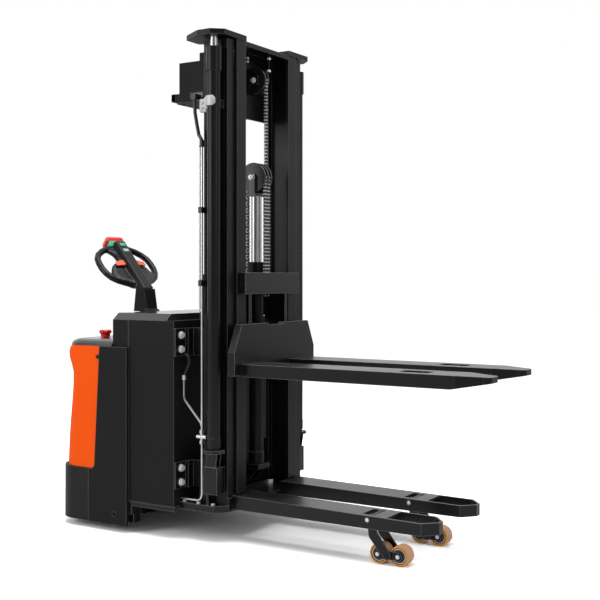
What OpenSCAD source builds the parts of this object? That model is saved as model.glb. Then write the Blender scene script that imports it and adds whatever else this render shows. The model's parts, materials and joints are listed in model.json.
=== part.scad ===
// Pedestrian electric stacker with a two-stage mast, shown with its forks part raised.
// Millimetres. +Z is up, +X runs towards the fork tips, +Y is the truck's left.
// Inside the modules X is measured from the front face of the fork plate, and the
// last lines move every piece so that the origin is under the middle of the truck.

/* [Forks] */
// Length of a fork in front of the fork plate
fork_len = 1150; // [1000:10:1200]
// Width of one fork
fork_w = 174; // [168:1:184]
// Distance across the outsides of both forks
fork_spread = 564; // [550:2:580]
// Depth of a fork's side skirts
fork_d = 56; // [52:1:60]
// Thickness of a fork's top plate
fork_top_t = 10; // [8:1:12]
// Thickness of a fork's skirts
fork_wall = 7; // [6:1:8]
// Height of the forks above their lowest position
fork_raise = 576; // [500:4:600]

/* [Support legs] */
// Height of the underside of a leg above the floor
leg_z = 150; // [144:1:156]
// Height of a leg's top at the mast
leg_top = 212; // [208:1:214]
// How far a leg's top falls towards its tip
leg_fall = 12; // [6:1:14]
// Reach of a leg's tip from the fork plate
leg_reach = 921; // [900:1:960]
// Wall thickness of a leg
leg_wall = 8; // [6:1:9]
// Distance from the fork plate to the load arm pivot
arm_pivot_x = 624; // [610:1:640]
// Diameter of a load wheel
wheel_d = 84; // [80:1:86]
// Width of a load wheel
wheel_w = 60; // [54:1:62]
// Distance between the two wheels of a bogie
wheel_gap = 93; // [90:1:96]

/* [Mast] */
// Height of the mast rails' top above the floor
mast_h = 2257; // [2100:10:2400]
// Depth of the mast rails from front to back
rail_d = 130; // [124:1:134]
// Thickness of the rails' flanges
flange_t = 14; // [12:1:15]
// Thickness of the rails' webs
web_t = 10; // [8:1:12]
// Clear width between the inner rails
inner_gap = 358; // [350:2:366]
// Width of an inner rail
inner_w = 70; // [68:1:72]
// Width of an outer rail
outer_w = 48; // [46:1:52]
// Diameter of the mast and carriage rollers
roller_d = 100; // [94:1:100]
// Diameter of a side lift cylinder's tube
side_tube_d = 60; // [54:1:66]
// Diameter of a side lift cylinder's rod
side_rod_d = 35; // [30:1:40]
// Diameter of the middle lift cylinder's tube
mid_tube_d = 68; // [64:1:74]
// Diameter of the middle lift cylinder's rod
mid_rod_d = 50; // [44:1:50]
// Pitch radius of the chain wheel
chain_r = 58; // [56:1:60]
// Pitch of the lift chains
chain_pitch = 15.875; // [12.7, 15.875, 19.05]

/* [Body] */
// Half the width of the battery box
box_half = 385; // [370:1:388]
// Height of the battery box's walls above the floor
box_top = 990; // [940:2:1000]
// Height of the battery box's underside
box_z = 152; // [150:1:160]
// Height of the lid on the battery box
lid_h = 30; // [24:1:36]
// Half the width over the drive panels
hood_half = 400; // [396:1:410]
// Height of the drive hood's walls above the floor
hood_z = 862; // [830:2:870]
// Height of the domed top of the drive hood
dome_h = 31; // [20:1:36]
// Radius of the hood's rear corners
hood_corner = 118; // [80:2:130]
// Height of the bumper's top above the floor
bumper_top = 283; // [260:1:300]
// Gap under the bumper
skirt_z = 33; // [28:1:40]

/* [Tiller] */
// Angle that the tiller is turned to the side
tiller_turn = 15; // [0:1:30]
// Backward lean of the tiller head from upright
head_lean = 47; // [35:1:55]
// Width across the handle loops
head_w = 348; // [330:2:366]
// Length of the tiller head along its middle
head_len = 343; // [330:1:350]
// Diameter of the drive wheel
drive_d = 230; // [220:2:240]
// Diameter of a caster wheel
caster_d = 140; // [130:2:150]

/* [Hidden] */
$fn = 48;

// Clearances
run_gap = 0.05;   // radial clearance of a shaft in its bore
side_gap = 1.5;   // gap beside a wheel, roller or arm
seat_gap = 3;     // gap between a lowered fork and its leg
slide_gap = 1;    // gap beside a roller in its rail
leg_gap = 4;      // gap between a leg's side and a fork's skirt

// Forks and legs
fork_y = (fork_spread - fork_w) / 2;
fork_z = leg_top + seat_gap + fork_top_t + fork_raise;
fork_taper_x = fork_len - 135;
fork_tip_w = fork_w - 74;
fork_tip_d = 24;
leg_w = fork_w - 2 * (fork_wall + leg_gap);
leg_tip_l = 53;
leg_tip_w = 34;
leg_root_x = -58;
basket_x = arm_pivot_x + 84;
slot_x = arm_pivot_x - 36;
slot_l = 58;
slot_w = leg_w - 2 * leg_wall - 30;
wheel_r = wheel_d / 2;
arm_pivot_z = leg_top - 26;
bogie_x = arm_pivot_x + 75;
bogie_pin_r = 7;
arm_pin_r = 9;
cheek_t = 6;
arm_t = 8;
bogie_y = wheel_w / 2 + side_gap;
arm_y = bogie_y + cheek_t + 1;

// Mast
rail_x = -178;                       // rear of the inner rails
inner_y = inner_gap / 2;             // inner face of an inner rail
inner_rail_z = 217;
rail_front_x = rail_x + rail_d;
outer_rail_x = rail_x - 12;
outer_y = inner_y + inner_w + 9;     // inner face of an outer rail
outer_rail_z = 170;
outer_top = mast_h - 7;
cross_rear = outer_rail_x - 25;      // rear faces of the outer crossmembers
shelf_rear = outer_rail_x - 182;
shelf_z = mast_h - 272;
cover_rear = outer_rail_x - 141;
cover_top = mast_h - 92;
roller_x = rail_x + rail_d / 2;
outer_roller_x = outer_rail_x + rail_d / 2;
roller_r = roller_d / 2;
roller_w = 26;
roller_pin_r = 14;
high_mast_roller_z = mast_h - 67;
low_mast_roller_z = 330;
inner_web_y = inner_y + (inner_w - web_t) / 2;
side_x = -105;
side_y = outer_y + outer_w + 39;
side_tube_z = 432;
side_gland_z = mast_h - 157;
side_gland_d = side_tube_d + 11;
side_rod_z = 500;
head_t = 23;
clamp_z = mast_h - 317;              // clamp that ties a side cylinder to its rail
mid_x = -113;
mid_tube_z = 312;
mid_tube_top = 1258;
mid_gland_z = 1200;
mid_gland_d = mid_tube_d + 8;
mid_rod_z = 800;
chain_wheel_z = 1654;
chain_wheel_r = chain_r + 12;
chain_wheel_w = 58;
chain_axle_r = 10;
strand_y = 13.5;
strand_w = 14;
chain_plate_h = chain_pitch * 0.86;
carriage_anchor_z = fork_z + 339;
mast_anchor_z = 962;
pulley_x = -140;
pulley_y = 40;
pulley_z = mast_h - 137;
pulley_r = 54;
upper_chain_x = pulley_x + pulley_r;
rear_links = floor((chain_wheel_z - mast_anchor_z) / chain_pitch) - 1;
front_links = floor((chain_wheel_z - carriage_anchor_z) / chain_pitch) - 1;
upper_links = floor((pulley_z - chain_wheel_z - 26) / chain_pitch);
upper_end_z = pulley_z - upper_links * chain_pitch;
anchor_r = 4.6;                      // threaded rods of the chain anchors

// Carriage
plate_t = 34;
plate_half = 335;
plate_low = fork_z - 50;
plate_shoulder = fork_z + 54;
plate_top = fork_z + 176;
plate_top_half = 279;
bar_y = inner_y - 39;
bar_t = 20;
bar_low = fork_z - 36;
bar_top = fork_z + 394;
low_roller_z = fork_z + 14;
high_roller_z = fork_z + 344;

// Body
box_rear = -663;
box_front = -300;
lid_front = -343;
sheet = 4;
lid_bevel = 36;
hood_rear = -1004;
bumper_rear = -1022;
panel_front = -568;
trim_top_x = -737;
trim_low_x = -769;
bumper_front = -804;
drive_x = -790;
drive_r = drive_d / 2;
drive_w = 75;
turntable_z = 330;
hood_skin = 4;
hood_inner = 8;
// Rear face of the hood: height above the floor and distance in front of hood_rear
hood_profile = [
  [283, 0], [400, 10], [500, 23], [600, 40], [680, 51], [730, 51],
  [768, 34], [798, 14], [826, 9], [848, 17], [862, 36]
];
caster_x = -715;
caster_y = box_half - 123;
caster_r = caster_d / 2;
caster_trail = 32;
caster_top = 200;
frame_y = box_half - 15;             // inner face of the frame's side members
member_rear = -880;

// Steel oil pipe down the mast, the hose from its top to the shelf, and the branch to the pump
pipe_x = -183;
pipe_y = -330;
oil_main = [
  [pipe_x, pipe_y, mast_h - 470], [pipe_x, pipe_y, 214], [pipe_x - 3, pipe_y, 202],
  [pipe_x - 10, pipe_y, 191], [pipe_x - 22, pipe_y, 184], [box_front, pipe_y, 184]
];
oil_hose = [
  [pipe_x, pipe_y, mast_h - 470], [pipe_x - 4, pipe_y, mast_h - 450],
  [pipe_x - 17, pipe_y, mast_h - 432], [pipe_x - 28, pipe_y, mast_h - 386],
  [pipe_x - 39, pipe_y, mast_h - 330], [pipe_x - 41, pipe_y, shelf_z + 2]
];
oil_branch = [
  [pipe_x - 2, pipe_y, 520], [pipe_x - 5, pipe_y, 532], [-280, pipe_y, 630], [-286, pipe_y, 644],
  [-286, pipe_y, 734], [-282, pipe_y, 748], [-258, pipe_y, 790], [-254, pipe_y, 802],
  [-256, pipe_y, 816], [-262, pipe_y, 828], [-272, pipe_y, 836], [box_front + 8, pipe_y, 836]
];

// Tiller, in its own frame over the drive wheel
pivot_z = 968;
arm_foot_z = 1014;
arm_neck_z = 1128;
head_tilt = -head_lean;
neck_x = -3;
grip_r = 17;
throttle_y = 185;                    // place and radius of the throttle's shaft in the head
throttle_z = 6.5;
throttle_r = 3.5;
cap_half = 38;                       // half width, far edge and underside of the belly button
cap_y = head_len + 62;
cap_z = -50;
estop_x = -851;
estop_y = -230;

// The origin is under the middle of the truck, whose rearmost point is the belly button
cap_reach = cap_z * cos(head_tilt) + cap_y * sin(head_tilt) + neck_x;
rear_most = drive_x + cap_reach * cos(tiller_turn) - cap_half * sin(tiller_turn);
shift_x = -(fork_len + rear_most) / 2;

// Helpers

// The children on the truck's left, and again mirrored on its right
module both_sides() {
  children();
  mirror([0, 1, 0]) children();
}

// Children turned over to the truck's right
module on_right() { mirror([0, 1, 0]) children(); }

// Upright plate: an outline in X and Z, extruded along Y from y0 to y1
module side_plate(y0, y1) {
  translate([0, y1, 0]) rotate([90, 0, 0]) linear_extrude(y1 - y0) children();
}

// Cylinder along Y from y0 to y1, centred on x and z
module pin_y(x, z, r, y0, y1) {
  translate([x, y1, z]) rotate([90, 0, 0]) cylinder(r = r, h = y1 - y0);
}

// Cylinder along X from x0 to x1, centred on y and z
module pin_x(x0, x1, y, z, r) {
  translate([x0, y, z]) rotate([0, 90, 0]) cylinder(r = r, h = x1 - x0);
}

// Box from corner a to corner b
module block(a, b) { translate(a) cube(b - a); }

// Flat bar between two points of its plane: round ends joined by their tangents
module link(p, q, rp, rq) {
  d = q - p;
  a = atan2(d.y, d.x);
  t = acos((rp - rq) / norm(d));
  translate(p) circle(rp);
  translate(q) circle(rq);
  polygon([
    p + rp * [cos(a + t), sin(a + t)], p + rp * [cos(a - t), sin(a - t)],
    q + rq * [cos(a - t), sin(a - t)], q + rq * [cos(a + t), sin(a + t)]
  ]);
}

// Rectangle with rounded corners, from corner a to corner b
module round_rect(a, b, r) {
  translate([a.x + r, a.y]) square([b.x - a.x - 2 * r, b.y - a.y]);
  translate([a.x, a.y + r]) square([b.x - a.x, b.y - a.y - 2 * r]);
  for (x = [a.x + r, b.x - r], y = [a.y + r, b.y - r]) translate([x, y]) circle(r);
}

// Pipe in an XZ plane through a list of points, its rings turned halfway at each bend
module pipe(points, r) {
  last = len(points) - 1;
  loft([for (i = [0:last])
    let (
      before = points[i] - points[max(i - 1, 0)],
      after = points[min(i + 1, last)] - points[i],
      u = i == 0 ? after : i == last ? before : before / norm(before) + after / norm(after),
      a = atan2(u.z, u.x)
    )
    [for (k = [0:9]) let (b = -36 * k) points[i] + r * [-sin(a) * cos(b), sin(b), cos(a) * cos(b)]]
  ]);
}

// Hexagon head screw pointing along +Z, its washer on the plane z = 0
module screw(d) {
  cylinder(d = 2.2 * d, h = 0.2 * d);
  translate([0, 0, 0.2 * d]) cylinder(d = 1.8 * d, h = 0.65 * d, $fn = 6);
}

// Stretch of roller chain hanging down from the origin, its pins along Y
module chain(links) {
  for (y = [-strand_w / 2, strand_w / 2 - 2])
    side_plate(y, y + 2)
      for (i = [0:2:links - 1]) translate([0, -chain_pitch * (i + 0.5)]) chain_plate();
  for (y = [-strand_w / 2 + 1.7, strand_w / 2 - 3.9])
    side_plate(y, y + 2.2)
      for (i = [1:2:links - 1]) translate([0, -chain_pitch * (i + 0.5)]) chain_plate();
  for (i = [0:links])
    translate([0, strand_w / 2 + 0.6, -chain_pitch * i]) rotate([90, 0, 0])
      cylinder(r = 3.2, h = strand_w + 1.2, $fn = 8);
}

// One chain plate, waisted between its two eyes
module chain_plate() {
  w = chain_plate_h / 2;
  h = chain_pitch / 2;
  polygon([for (s = [1, -1]) each [
    [s * w * 0.7, s * (h - w * 0.7)], [s * w, s * (h - w * 0.4)], [s * w, s * (h + w * 0.4)],
    [s * w * 0.4, s * (h + w)], [-s * w * 0.4, s * (h + w)], [-s * w, s * (h + w * 0.4)],
    [-s * w, s * (h - w * 0.4)], [-s * w * 0.7, s * (h - w * 0.7)]
  ]]);
}

// End of a strand: a lug on its last pin, and a threaded rod with nuts at the heights z
module chain_anchor(links, z, rod_end) {
  last = -chain_pitch * links;
  block([-5.5, -3.6, last - 13], [5.5, 3.6, last + 4]);
  translate([0, 0, rod_end]) cylinder(r = anchor_r, h = last - 9 - rod_end);
  for (h = z) translate([0, 0, h]) cylinder(r = 8, h = 7, $fn = 6);
}

// Base and legs

module base_frame() {
  color("#1d1d1f") {
    // Plate that the mast stands on
    translate([0, 0, leg_z - 10]) linear_extrude(outer_rail_z - leg_z + 10)
      polygon([
        [box_front, -345], [-110, -345], [leg_root_x, -300], [leg_root_x, 300],
        [-110, 345], [box_front, 345]
      ]);
    block([-345, -frame_y, leg_z - 10], [box_front, frame_y, leg_z]);
    // Side members under the battery box
    both_sides() {
      block([member_rear, frame_y, 90], [-548, frame_y + 14, leg_z]);
      block([-548, frame_y, leg_z - 20], [box_front, frame_y + 14, leg_z]);
      block([-600, frame_y - 50, 45], [-548, frame_y, leg_z]);
      // Wall up to the bridge, with the tab that holds the bumper and the hood
      block([member_rear, frame_y, leg_z], [-672, frame_y + 14, turntable_z]);
      block([-860, frame_y + 14, 120], [-830, hood_half - 12, 322]);
      // Box brackets under the side lift cylinders
      block([-150, outer_y + outer_w + 1, 226], [-75, side_y + 20, 346]);
      side_plate(side_y - 18, side_y - 12)
        polygon([[-140, 346], [-85, 346], [-75, 408], [-130, 408]]);
      side_plate(side_y + 12, side_y + 18)
        polygon([[-140, 346], [-85, 346], [-75, 408], [-130, 408]]);
      block([-150, outer_y + outer_w + 1, outer_rail_z], [-140, side_y - 4, 226]);
      // Seats of the side lift cylinders
      difference() {
        translate([side_x, side_y, 408]) rotate(22.5) cylinder(r = 49, h = 14, $fn = 8);
        translate([side_x, side_y, 407]) cylinder(r = 8, h = 16);
        block([side_x - 60, outer_y, 407], [side_x + 60, outer_y + outer_w + 0.5, 423]);
      }
    }
    // Bridge that carries the turntable of the drive unit and the bosses of the casters
    difference() {
      union() {
        block([-920, -frame_y, turntable_z - 12], [box_rear - 3, frame_y, turntable_z]);
        both_sides() translate([caster_x, caster_y, caster_top + 4])
          cylinder(r = 24, h = turntable_z - 12 - caster_top);
      }
      translate([drive_x, 0, turntable_z - 13]) cylinder(r = 92, h = 14);
      both_sides() translate([caster_x, caster_y, caster_top])
        cylinder(r = 12 + run_gap, h = turntable_z);
    }
  }
}

// Outline of a leg in plan, drawn in from its edge by the distance t
module leg_plan(t, x0) {
  polygon([
    [x0, -leg_w / 2 + t], [leg_reach - leg_tip_l - t / 2, -leg_w / 2 + t],
    [leg_reach - t, -leg_tip_w / 2 + t / 3], [leg_reach - t, leg_tip_w / 2 - t / 3],
    [leg_reach - leg_tip_l - t / 2, leg_w / 2 - t], [x0, leg_w / 2 - t]
  ]);
}

// Side view of a leg, drawn in from its top by the distance t
module leg_side(z0, t) {
  polygon([
    [leg_root_x - 1, z0], [leg_reach + 1, z0],
    [leg_reach + 1, leg_top - leg_fall - t], [leg_root_x - 1, leg_top - t]
  ]);
}

module leg() {
  color("#232325") translate([0, fork_y, 0]) difference() {
    intersection() {
      side_plate(-leg_w, leg_w) leg_side(leg_z, 0);
      linear_extrude(leg_top) leg_plan(0, leg_root_x);
    }
    // Hollow from below, under the top plate
    intersection() {
      side_plate(-leg_w, leg_w) leg_side(leg_z - 1, leg_wall);
      linear_extrude(leg_top) leg_plan(leg_wall, leg_root_x + leg_wall);
    }
    // Basket that the wheels fold up into
    translate([0, 0, leg_z]) linear_extrude(leg_top) leg_plan(leg_wall, basket_x);
    // Slot over the load arm's pivot
    block([slot_x, -slot_w / 2, leg_z], [slot_x + slot_l, slot_w / 2, leg_top + 1]);
    pin_y(arm_pivot_x, arm_pivot_z, arm_pin_r, -leg_w, leg_w);
  }
}

module right_leg() { on_right() leg(); }

module left_leg() { leg(); }

// Load arms, their knee bent back so that they clear the top plate when folded
module load_arm() {
  translate([0, fork_y, 0]) {
    for (s = [-1, 1]) {
      y0 = s > 0 ? arm_y : -arm_y - arm_t;
      difference() {
        side_plate(y0, y0 + arm_t) {
          link([arm_pivot_x, arm_pivot_z], [arm_pivot_x + 11, arm_pivot_z - 68], 18, 21);
          link([arm_pivot_x + 11, arm_pivot_z - 68], [bogie_x, wheel_r], 21, 17);
        }
        pin_y(bogie_x, wheel_r, bogie_pin_r - 0.5, y0 - 1, y0 + arm_t + 1);
      }
      // Stub pin that the bogie rocks on
      y1 = s > 0 ? bogie_y : -arm_y - arm_t;
      pin_y(bogie_x, wheel_r, bogie_pin_r, y1, y1 + arm_y + arm_t - bogie_y);
    }
    pin_y(arm_pivot_x, arm_pivot_z, 15, -arm_y, arm_y);
    pin_y(arm_pivot_x, arm_pivot_z, arm_pin_r - run_gap, -leg_w / 2 - 2, leg_w / 2 + 2);
    // Low heads that a lowered fork passes over
    for (y = [-leg_w / 2 - 2.4, leg_w / 2 + 0.3]) pin_y(arm_pivot_x, arm_pivot_z, 13, y, y + 2.1);
  }
}

module load_arms() { color("#1f1f21") both_sides() load_arm(); }

module bogie() {
  color("#1a1a1c") translate([0, fork_y, 0])
    for (s = [-1, 1]) {
      y0 = s > 0 ? bogie_y : -bogie_y - cheek_t;
      difference() {
        side_plate(y0, y0 + cheek_t)
          link([bogie_x - wheel_gap / 2, wheel_r], [bogie_x + wheel_gap / 2, wheel_r], 17, 17);
        pin_y(bogie_x, wheel_r, bogie_pin_r + run_gap, y0 - 1, y0 + cheek_t + 1);
      }
    }
  color("silver") translate([0, fork_y, 0])
    for (x = [bogie_x - wheel_gap / 2, bogie_x + wheel_gap / 2]) {
      pin_y(x, wheel_r, 8, -bogie_y, bogie_y);
      for (s = [-1, 1]) pin_y(x, wheel_r, 9, s > 0 ? bogie_y + cheek_t : -bogie_y - cheek_t - 5,
                              s > 0 ? bogie_y + cheek_t + 5 : -bogie_y - cheek_t);
    }
}

module right_bogie() { on_right() bogie(); }

module left_bogie() { bogie(); }

// Load wheel: a polyurethane tyre on a hub with a recessed bearing on each side
module load_wheel(x) {
  color("#c8742c") translate([x, fork_y, wheel_r]) rotate([90, 0, 0]) rotate_extrude() {
    polygon([
      [8 + run_gap, -wheel_w / 2 + 2], [20, -wheel_w / 2 + 2], [20, -wheel_w / 2 + 4],
      [27, -wheel_w / 2 + 4], [29, -wheel_w / 2], [wheel_r - 3, -wheel_w / 2],
      [wheel_r, -wheel_w / 2 + 3], [wheel_r, wheel_w / 2 - 3], [wheel_r - 3, wheel_w / 2],
      [29, wheel_w / 2], [27, wheel_w / 2 - 4], [20, wheel_w / 2 - 4],
      [20, wheel_w / 2 - 2], [8 + run_gap, wheel_w / 2 - 2]
    ]);
  }
}

module right_front_wheel() { on_right() load_wheel(bogie_x + wheel_gap / 2); }

module right_rear_wheel() { on_right() load_wheel(bogie_x - wheel_gap / 2); }

module left_front_wheel() { load_wheel(bogie_x + wheel_gap / 2); }

module left_rear_wheel() { load_wheel(bogie_x - wheel_gap / 2); }

// Mast

// Section of an outer rail: a channel open towards the mast's middle
module outer_section() {
  difference() {
    translate([outer_rail_x, outer_y]) square([rail_d, outer_w]);
    translate([outer_rail_x + flange_t, outer_y - 1])
      square([rail_d - 2 * flange_t, outer_w - web_t + 1]);
  }
}

// Section of an inner rail: a channel open to each side of its web
module inner_section() {
  difference() {
    translate([rail_x, inner_y]) square([rail_d, inner_w]);
    for (y = [inner_y - 1, inner_web_y + web_t])
      translate([rail_x + flange_t, y])
        square([rail_d - 2 * flange_t, inner_web_y - inner_y + 1]);
  }
}

module outer_rail() {
  color("#202022") {
    translate([0, 0, outer_rail_z]) linear_extrude(outer_top - outer_rail_z) outer_section();
    // Foot pad and the clamp that ties the lift cylinder to the rail
    block([outer_rail_x + rail_d, fork_y + leg_w / 2 + 2, outer_rail_z],
          [outer_rail_x + rail_d + 8, outer_y + outer_w, outer_rail_z + 34]);
    difference() {
      block([side_x - 24, outer_y + outer_w, clamp_z], [side_x + 24, side_y - 6, clamp_z + 34]);
      translate([side_x, side_y, clamp_z - 1]) cylinder(d = side_tube_d, h = 36);
    }
    pin_y(roller_x, high_mast_roller_z, roller_pin_r, inner_web_y + web_t + 2, outer_y + outer_w - 1);
  }
}

module right_outer_rail() { on_right() outer_rail(); }

module left_outer_rail() { outer_rail(); }

module outer_crossmembers() {
  color("#18181a")
    for (z = [[186, 228], [1000, 1200], [outer_top - 250, outer_top - 50]])
      difference() {
        block([cross_rear, -outer_y - outer_w, z[0]], [outer_rail_x, outer_y + outer_w, z[1]]);
        block([outer_rail_x - 17, -outer_y + 20, z[0] - 1], [outer_rail_x + 1, outer_y - 20, z[1] + 1]);
      }
  // Shelf behind the mast's top, and the cover of the hoses on it
  color("#1c1c1e") {
    difference() {
      translate([0, 0, shelf_z]) linear_extrude(30)
        polygon([
          [shelf_rear, -270], [shelf_rear + 36, -306], [cross_rear, -306], [cross_rear, 306],
          [shelf_rear + 36, 306], [shelf_rear, 270]
        ]);
      both_sides() for (x = [shelf_rear + 34, shelf_rear + 100])
        translate([x, 262, shelf_z - 1]) cylinder(r = 13, h = 32);
    }
    difference() {
      block([cover_rear, -306, shelf_z + 30], [cross_rear, 306, cover_top]);
      block([cover_rear + 6, -300, shelf_z + 29], [cross_rear + 1, 300, cover_top - 6]);
    }
    both_sides() block([cross_rear, 298, shelf_z], [outer_rail_x, 306, cover_top]);
  }
}

// Bent brackets between the bulkhead and the outer rails
module mast_brackets() {
  color("#1b1b1d") both_sides()
    for (z = [[232, 352], [830, 956]]) {
      difference() {
        block([box_front, box_half - 75, z[0]], [box_front + 8, box_half - 2, z[1]]);
        for (b = [-1, 1])
          pin_x(box_front - 1, box_front + 9, box_half - 42, (z[0] + z[1]) / 2 + b * 32, 7);
      }
      block([box_front, outer_y + 2, z[0]], [box_front + 24, box_half - 75, z[1]]);
      block([box_front + 24, outer_y + 2, z[0]], [outer_rail_x, outer_y + 14, z[1]]);
    }
}

module chassis_bolts() {
  color("silver") both_sides() {
    for (z = [292, 893], b = [-1, 1])
      translate([box_front + 8, box_half - 42, z + b * 32]) rotate([0, 90, 0]) screw(16);
    for (x = [-285, -205, -125]) translate([x, 325, outer_rail_z]) screw(10);
    translate([side_x, side_y, 408]) rotate([180, 0, 0]) screw(10);
  }
}

// Side lift cylinder: a tube with a foot and a gland
module lift_cylinder() {
  color("#2a2a2c") translate([side_x, side_y, 0]) difference() {
    union() {
      translate([0, 0, side_tube_z - 10]) cylinder(d = side_tube_d - 6, h = 20);
      translate([0, 0, side_tube_z]) cylinder(d = side_tube_d, h = side_gland_z - side_tube_z);
      translate([0, 0, side_gland_z]) cylinder(d = side_gland_d, h = 107);
      translate([0, 0, side_tube_z]) cylinder(d = side_tube_d + 3, h = 44);
    }
    translate([0, 0, side_tube_z + 30]) cylinder(d = side_tube_d - 10, h = side_gland_z - side_tube_z);
    translate([0, 0, side_gland_z]) cylinder(d = side_rod_d + 2 * run_gap, h = 108);
  }
}

module right_lift_cylinder() { on_right() lift_cylinder(); }

module left_lift_cylinder() { lift_cylinder(); }

module side_rods() {
  color("#c9c9cb") both_sides() translate([side_x, side_y, 0]) {
    translate([0, 0, side_rod_z]) cylinder(d = side_rod_d, h = mast_h - side_rod_z);
    translate([0, 0, side_rod_z]) cylinder(d = side_tube_d - 12, h = 40);
  }
}

module inner_rail() {
  color("#222224") {
    translate([0, 0, inner_rail_z]) linear_extrude(mast_h - inner_rail_z) inner_section();
    pin_y(outer_roller_x, low_mast_roller_z, roller_pin_r, inner_web_y + 1, outer_y + 2 + roller_w);
  }
}

module right_inner_rail() { on_right() inner_rail(); }

module left_inner_rail() { inner_rail(); }

// Head of the inner mast: tie bar, rear plate and the plates on the lift rods
module mast_head() {
  color("#1e1e20") {
    block([rail_front_x - 27, -inner_y, mast_h - 21], [rail_front_x, inner_y, mast_h]);
    block([rail_x + 14, -inner_y, mast_h - 8], [rail_front_x - 27, inner_y, mast_h]);
    difference() {
      block([rail_x + 2, -inner_y, mast_h - 320], [rail_x + 14, inner_y, mast_h]);
      pin_x(rail_x, rail_x + 16, -60, mast_h - 90, 24);
      block([rail_x, pulley_y - 20, pulley_z - 66], [rail_x + 16, pulley_y + 20, pulley_z + 66]);
    }
    both_sides() translate([0, 0, mast_h]) linear_extrude(head_t)
      polygon([
        [rail_front_x + 4, inner_y], [rail_front_x + 5, side_y + 4], [-93, side_y + 47],
        [-164, side_y + 47], [-271, side_y - 16], [-271, inner_y + 60], [rail_x, inner_y]
      ]);
    // Fork of the top pulley
    for (y = [pulley_y - 24, pulley_y + 18])
      block([rail_x + 14, y, pulley_z - 22], [pulley_x + 24, y + 6, pulley_z + 22]);
    pin_y(pulley_x, pulley_z, 9, pulley_y - 26, pulley_y + 26);
  }
}

module inner_crossmembers() {
  color("#1b1b1d") {
    block([rail_x, -inner_y, inner_rail_z], [rail_x + 12, inner_y, inner_rail_z + 190]);
    // Shelf and gussets under the middle lift cylinder
    difference() {
      block([rail_x + 12, -46, mid_tube_z - 22], [mid_x + 44, 46, mid_tube_z]);
      translate([mid_x, 0, mid_tube_z - 23]) cylinder(r = 9, h = 24);
    }
    for (y = [-42, 34])
      side_plate(y, y + 8)
        polygon([
          [rail_x + 12, inner_rail_z + 4], [rail_x + 24, inner_rail_z + 4],
          [mid_x + 36, mid_tube_z - 22], [rail_x + 12, mid_tube_z - 22]
        ]);
    // Anchor of the rear chains, clamped round the cylinder
    difference() {
      union() {
        translate([mid_x, 0, mast_anchor_z - 40]) cylinder(d = mid_tube_d + 16, h = 30);
        block([rail_x, -26, mast_anchor_z - 40], [mid_x - 36, 26, mast_anchor_z - 10]);
      }
      translate([mid_x, 0, mast_anchor_z - 41]) cylinder(d = mid_tube_d, h = 32);
      for (s = [-1, 1]) translate([mid_x - chain_r, s * strand_y, mast_anchor_z - 41])
        cylinder(r = anchor_r + 0.4, h = 32);
    }
  }
}

module free_lift_tube() {
  color("#262628") translate([mid_x, 0, 0]) difference() {
    union() {
      translate([0, 0, mid_tube_z]) cylinder(d = mid_tube_d, h = mid_gland_z - mid_tube_z);
      translate([0, 0, mid_tube_z]) cylinder(d = mid_tube_d + 6, h = 56);
      translate([0, 0, mid_gland_z]) cylinder(d = mid_gland_d, h = mid_tube_top - mid_gland_z);
      translate([0, 0, mid_tube_z - 22]) cylinder(r = 8.9, h = 24);
    }
    translate([0, 0, mid_tube_z + 30]) cylinder(d = mid_rod_d + 6, h = mid_gland_z - mid_tube_z - 30);
    translate([0, 0, mid_gland_z - 1]) cylinder(d = mid_rod_d + 2 * run_gap, h = 100);
  }
}

// Rod of the middle cylinder with the fork that holds the chain wheel
module lift_rod() {
  color("#cfcfd1") translate([mid_x, 0, mid_rod_z]) cylinder(d = mid_rod_d, h = 1574 - mid_rod_z);
  color("#cfcfd1") translate([mid_x, 0, mid_rod_z]) cylinder(d = mid_rod_d + 5, h = 30);
  color("#1c1c1e") {
    block([mid_x - 24, -40, 1566], [mid_x + 24, 40, 1580]);
    for (y = [-40, 33])
      side_plate(y, y + 7) {
        translate([mid_x - 18, 1566]) square([36, chain_wheel_z - 1566]);
        translate([mid_x, chain_wheel_z]) circle(18);
      }
  }
  color("silver") {
    pin_y(mid_x, chain_wheel_z, chain_axle_r, -40, 46);
    translate([mid_x, -40, chain_wheel_z]) rotate([90, 0, 0]) screw(14);
  }
  // Lug for the upper chain on the axle's far end
  color("#1c1c1e") difference() {
    side_plate(pulley_y - 3, pulley_y + 3)
      link([mid_x, chain_wheel_z], [upper_chain_x, upper_end_z], 14, 7.5);
    pin_y(upper_chain_x, upper_end_z, 3.5, pulley_y - 4, pulley_y + 4);
  }
}

// Wheel with two grooves for the pair of lift chains
module chain_wheel() {
  color("#2b2b2d") translate([mid_x, 0, chain_wheel_z]) rotate([90, 0, 0]) rotate_extrude() {
    difference() {
      translate([chain_axle_r + run_gap, -chain_wheel_w / 2])
        square([chain_wheel_r - chain_axle_r - run_gap, chain_wheel_w]);
      for (s = [-1, 1]) translate([chain_r - chain_plate_h / 2, s * strand_y - strand_w / 2 - 1])
        square([40, strand_w + 2]);
    }
  }
}

module top_pulley() {
  color("#2b2b2d") translate([pulley_x, pulley_y, pulley_z]) rotate([90, 0, 0]) rotate_extrude() {
    difference() {
      translate([9 + run_gap, -16]) square([pulley_r + 8 - 9 - run_gap, 32]);
      translate([pulley_r - 7, -strand_w / 2 - 1]) square([40, strand_w + 2]);
    }
  }
}

// Strands between the chain wheel and their anchors
module rear_chain() {
  z = mast_anchor_z - chain_wheel_z;
  color("#3a3a3c") for (s = [-1, 1]) translate([mid_x - chain_r, s * strand_y, chain_wheel_z]) {
    chain(rear_links);
    chain_anchor(rear_links, [z - 10, z - 47], z - 52);
  }
}

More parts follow.
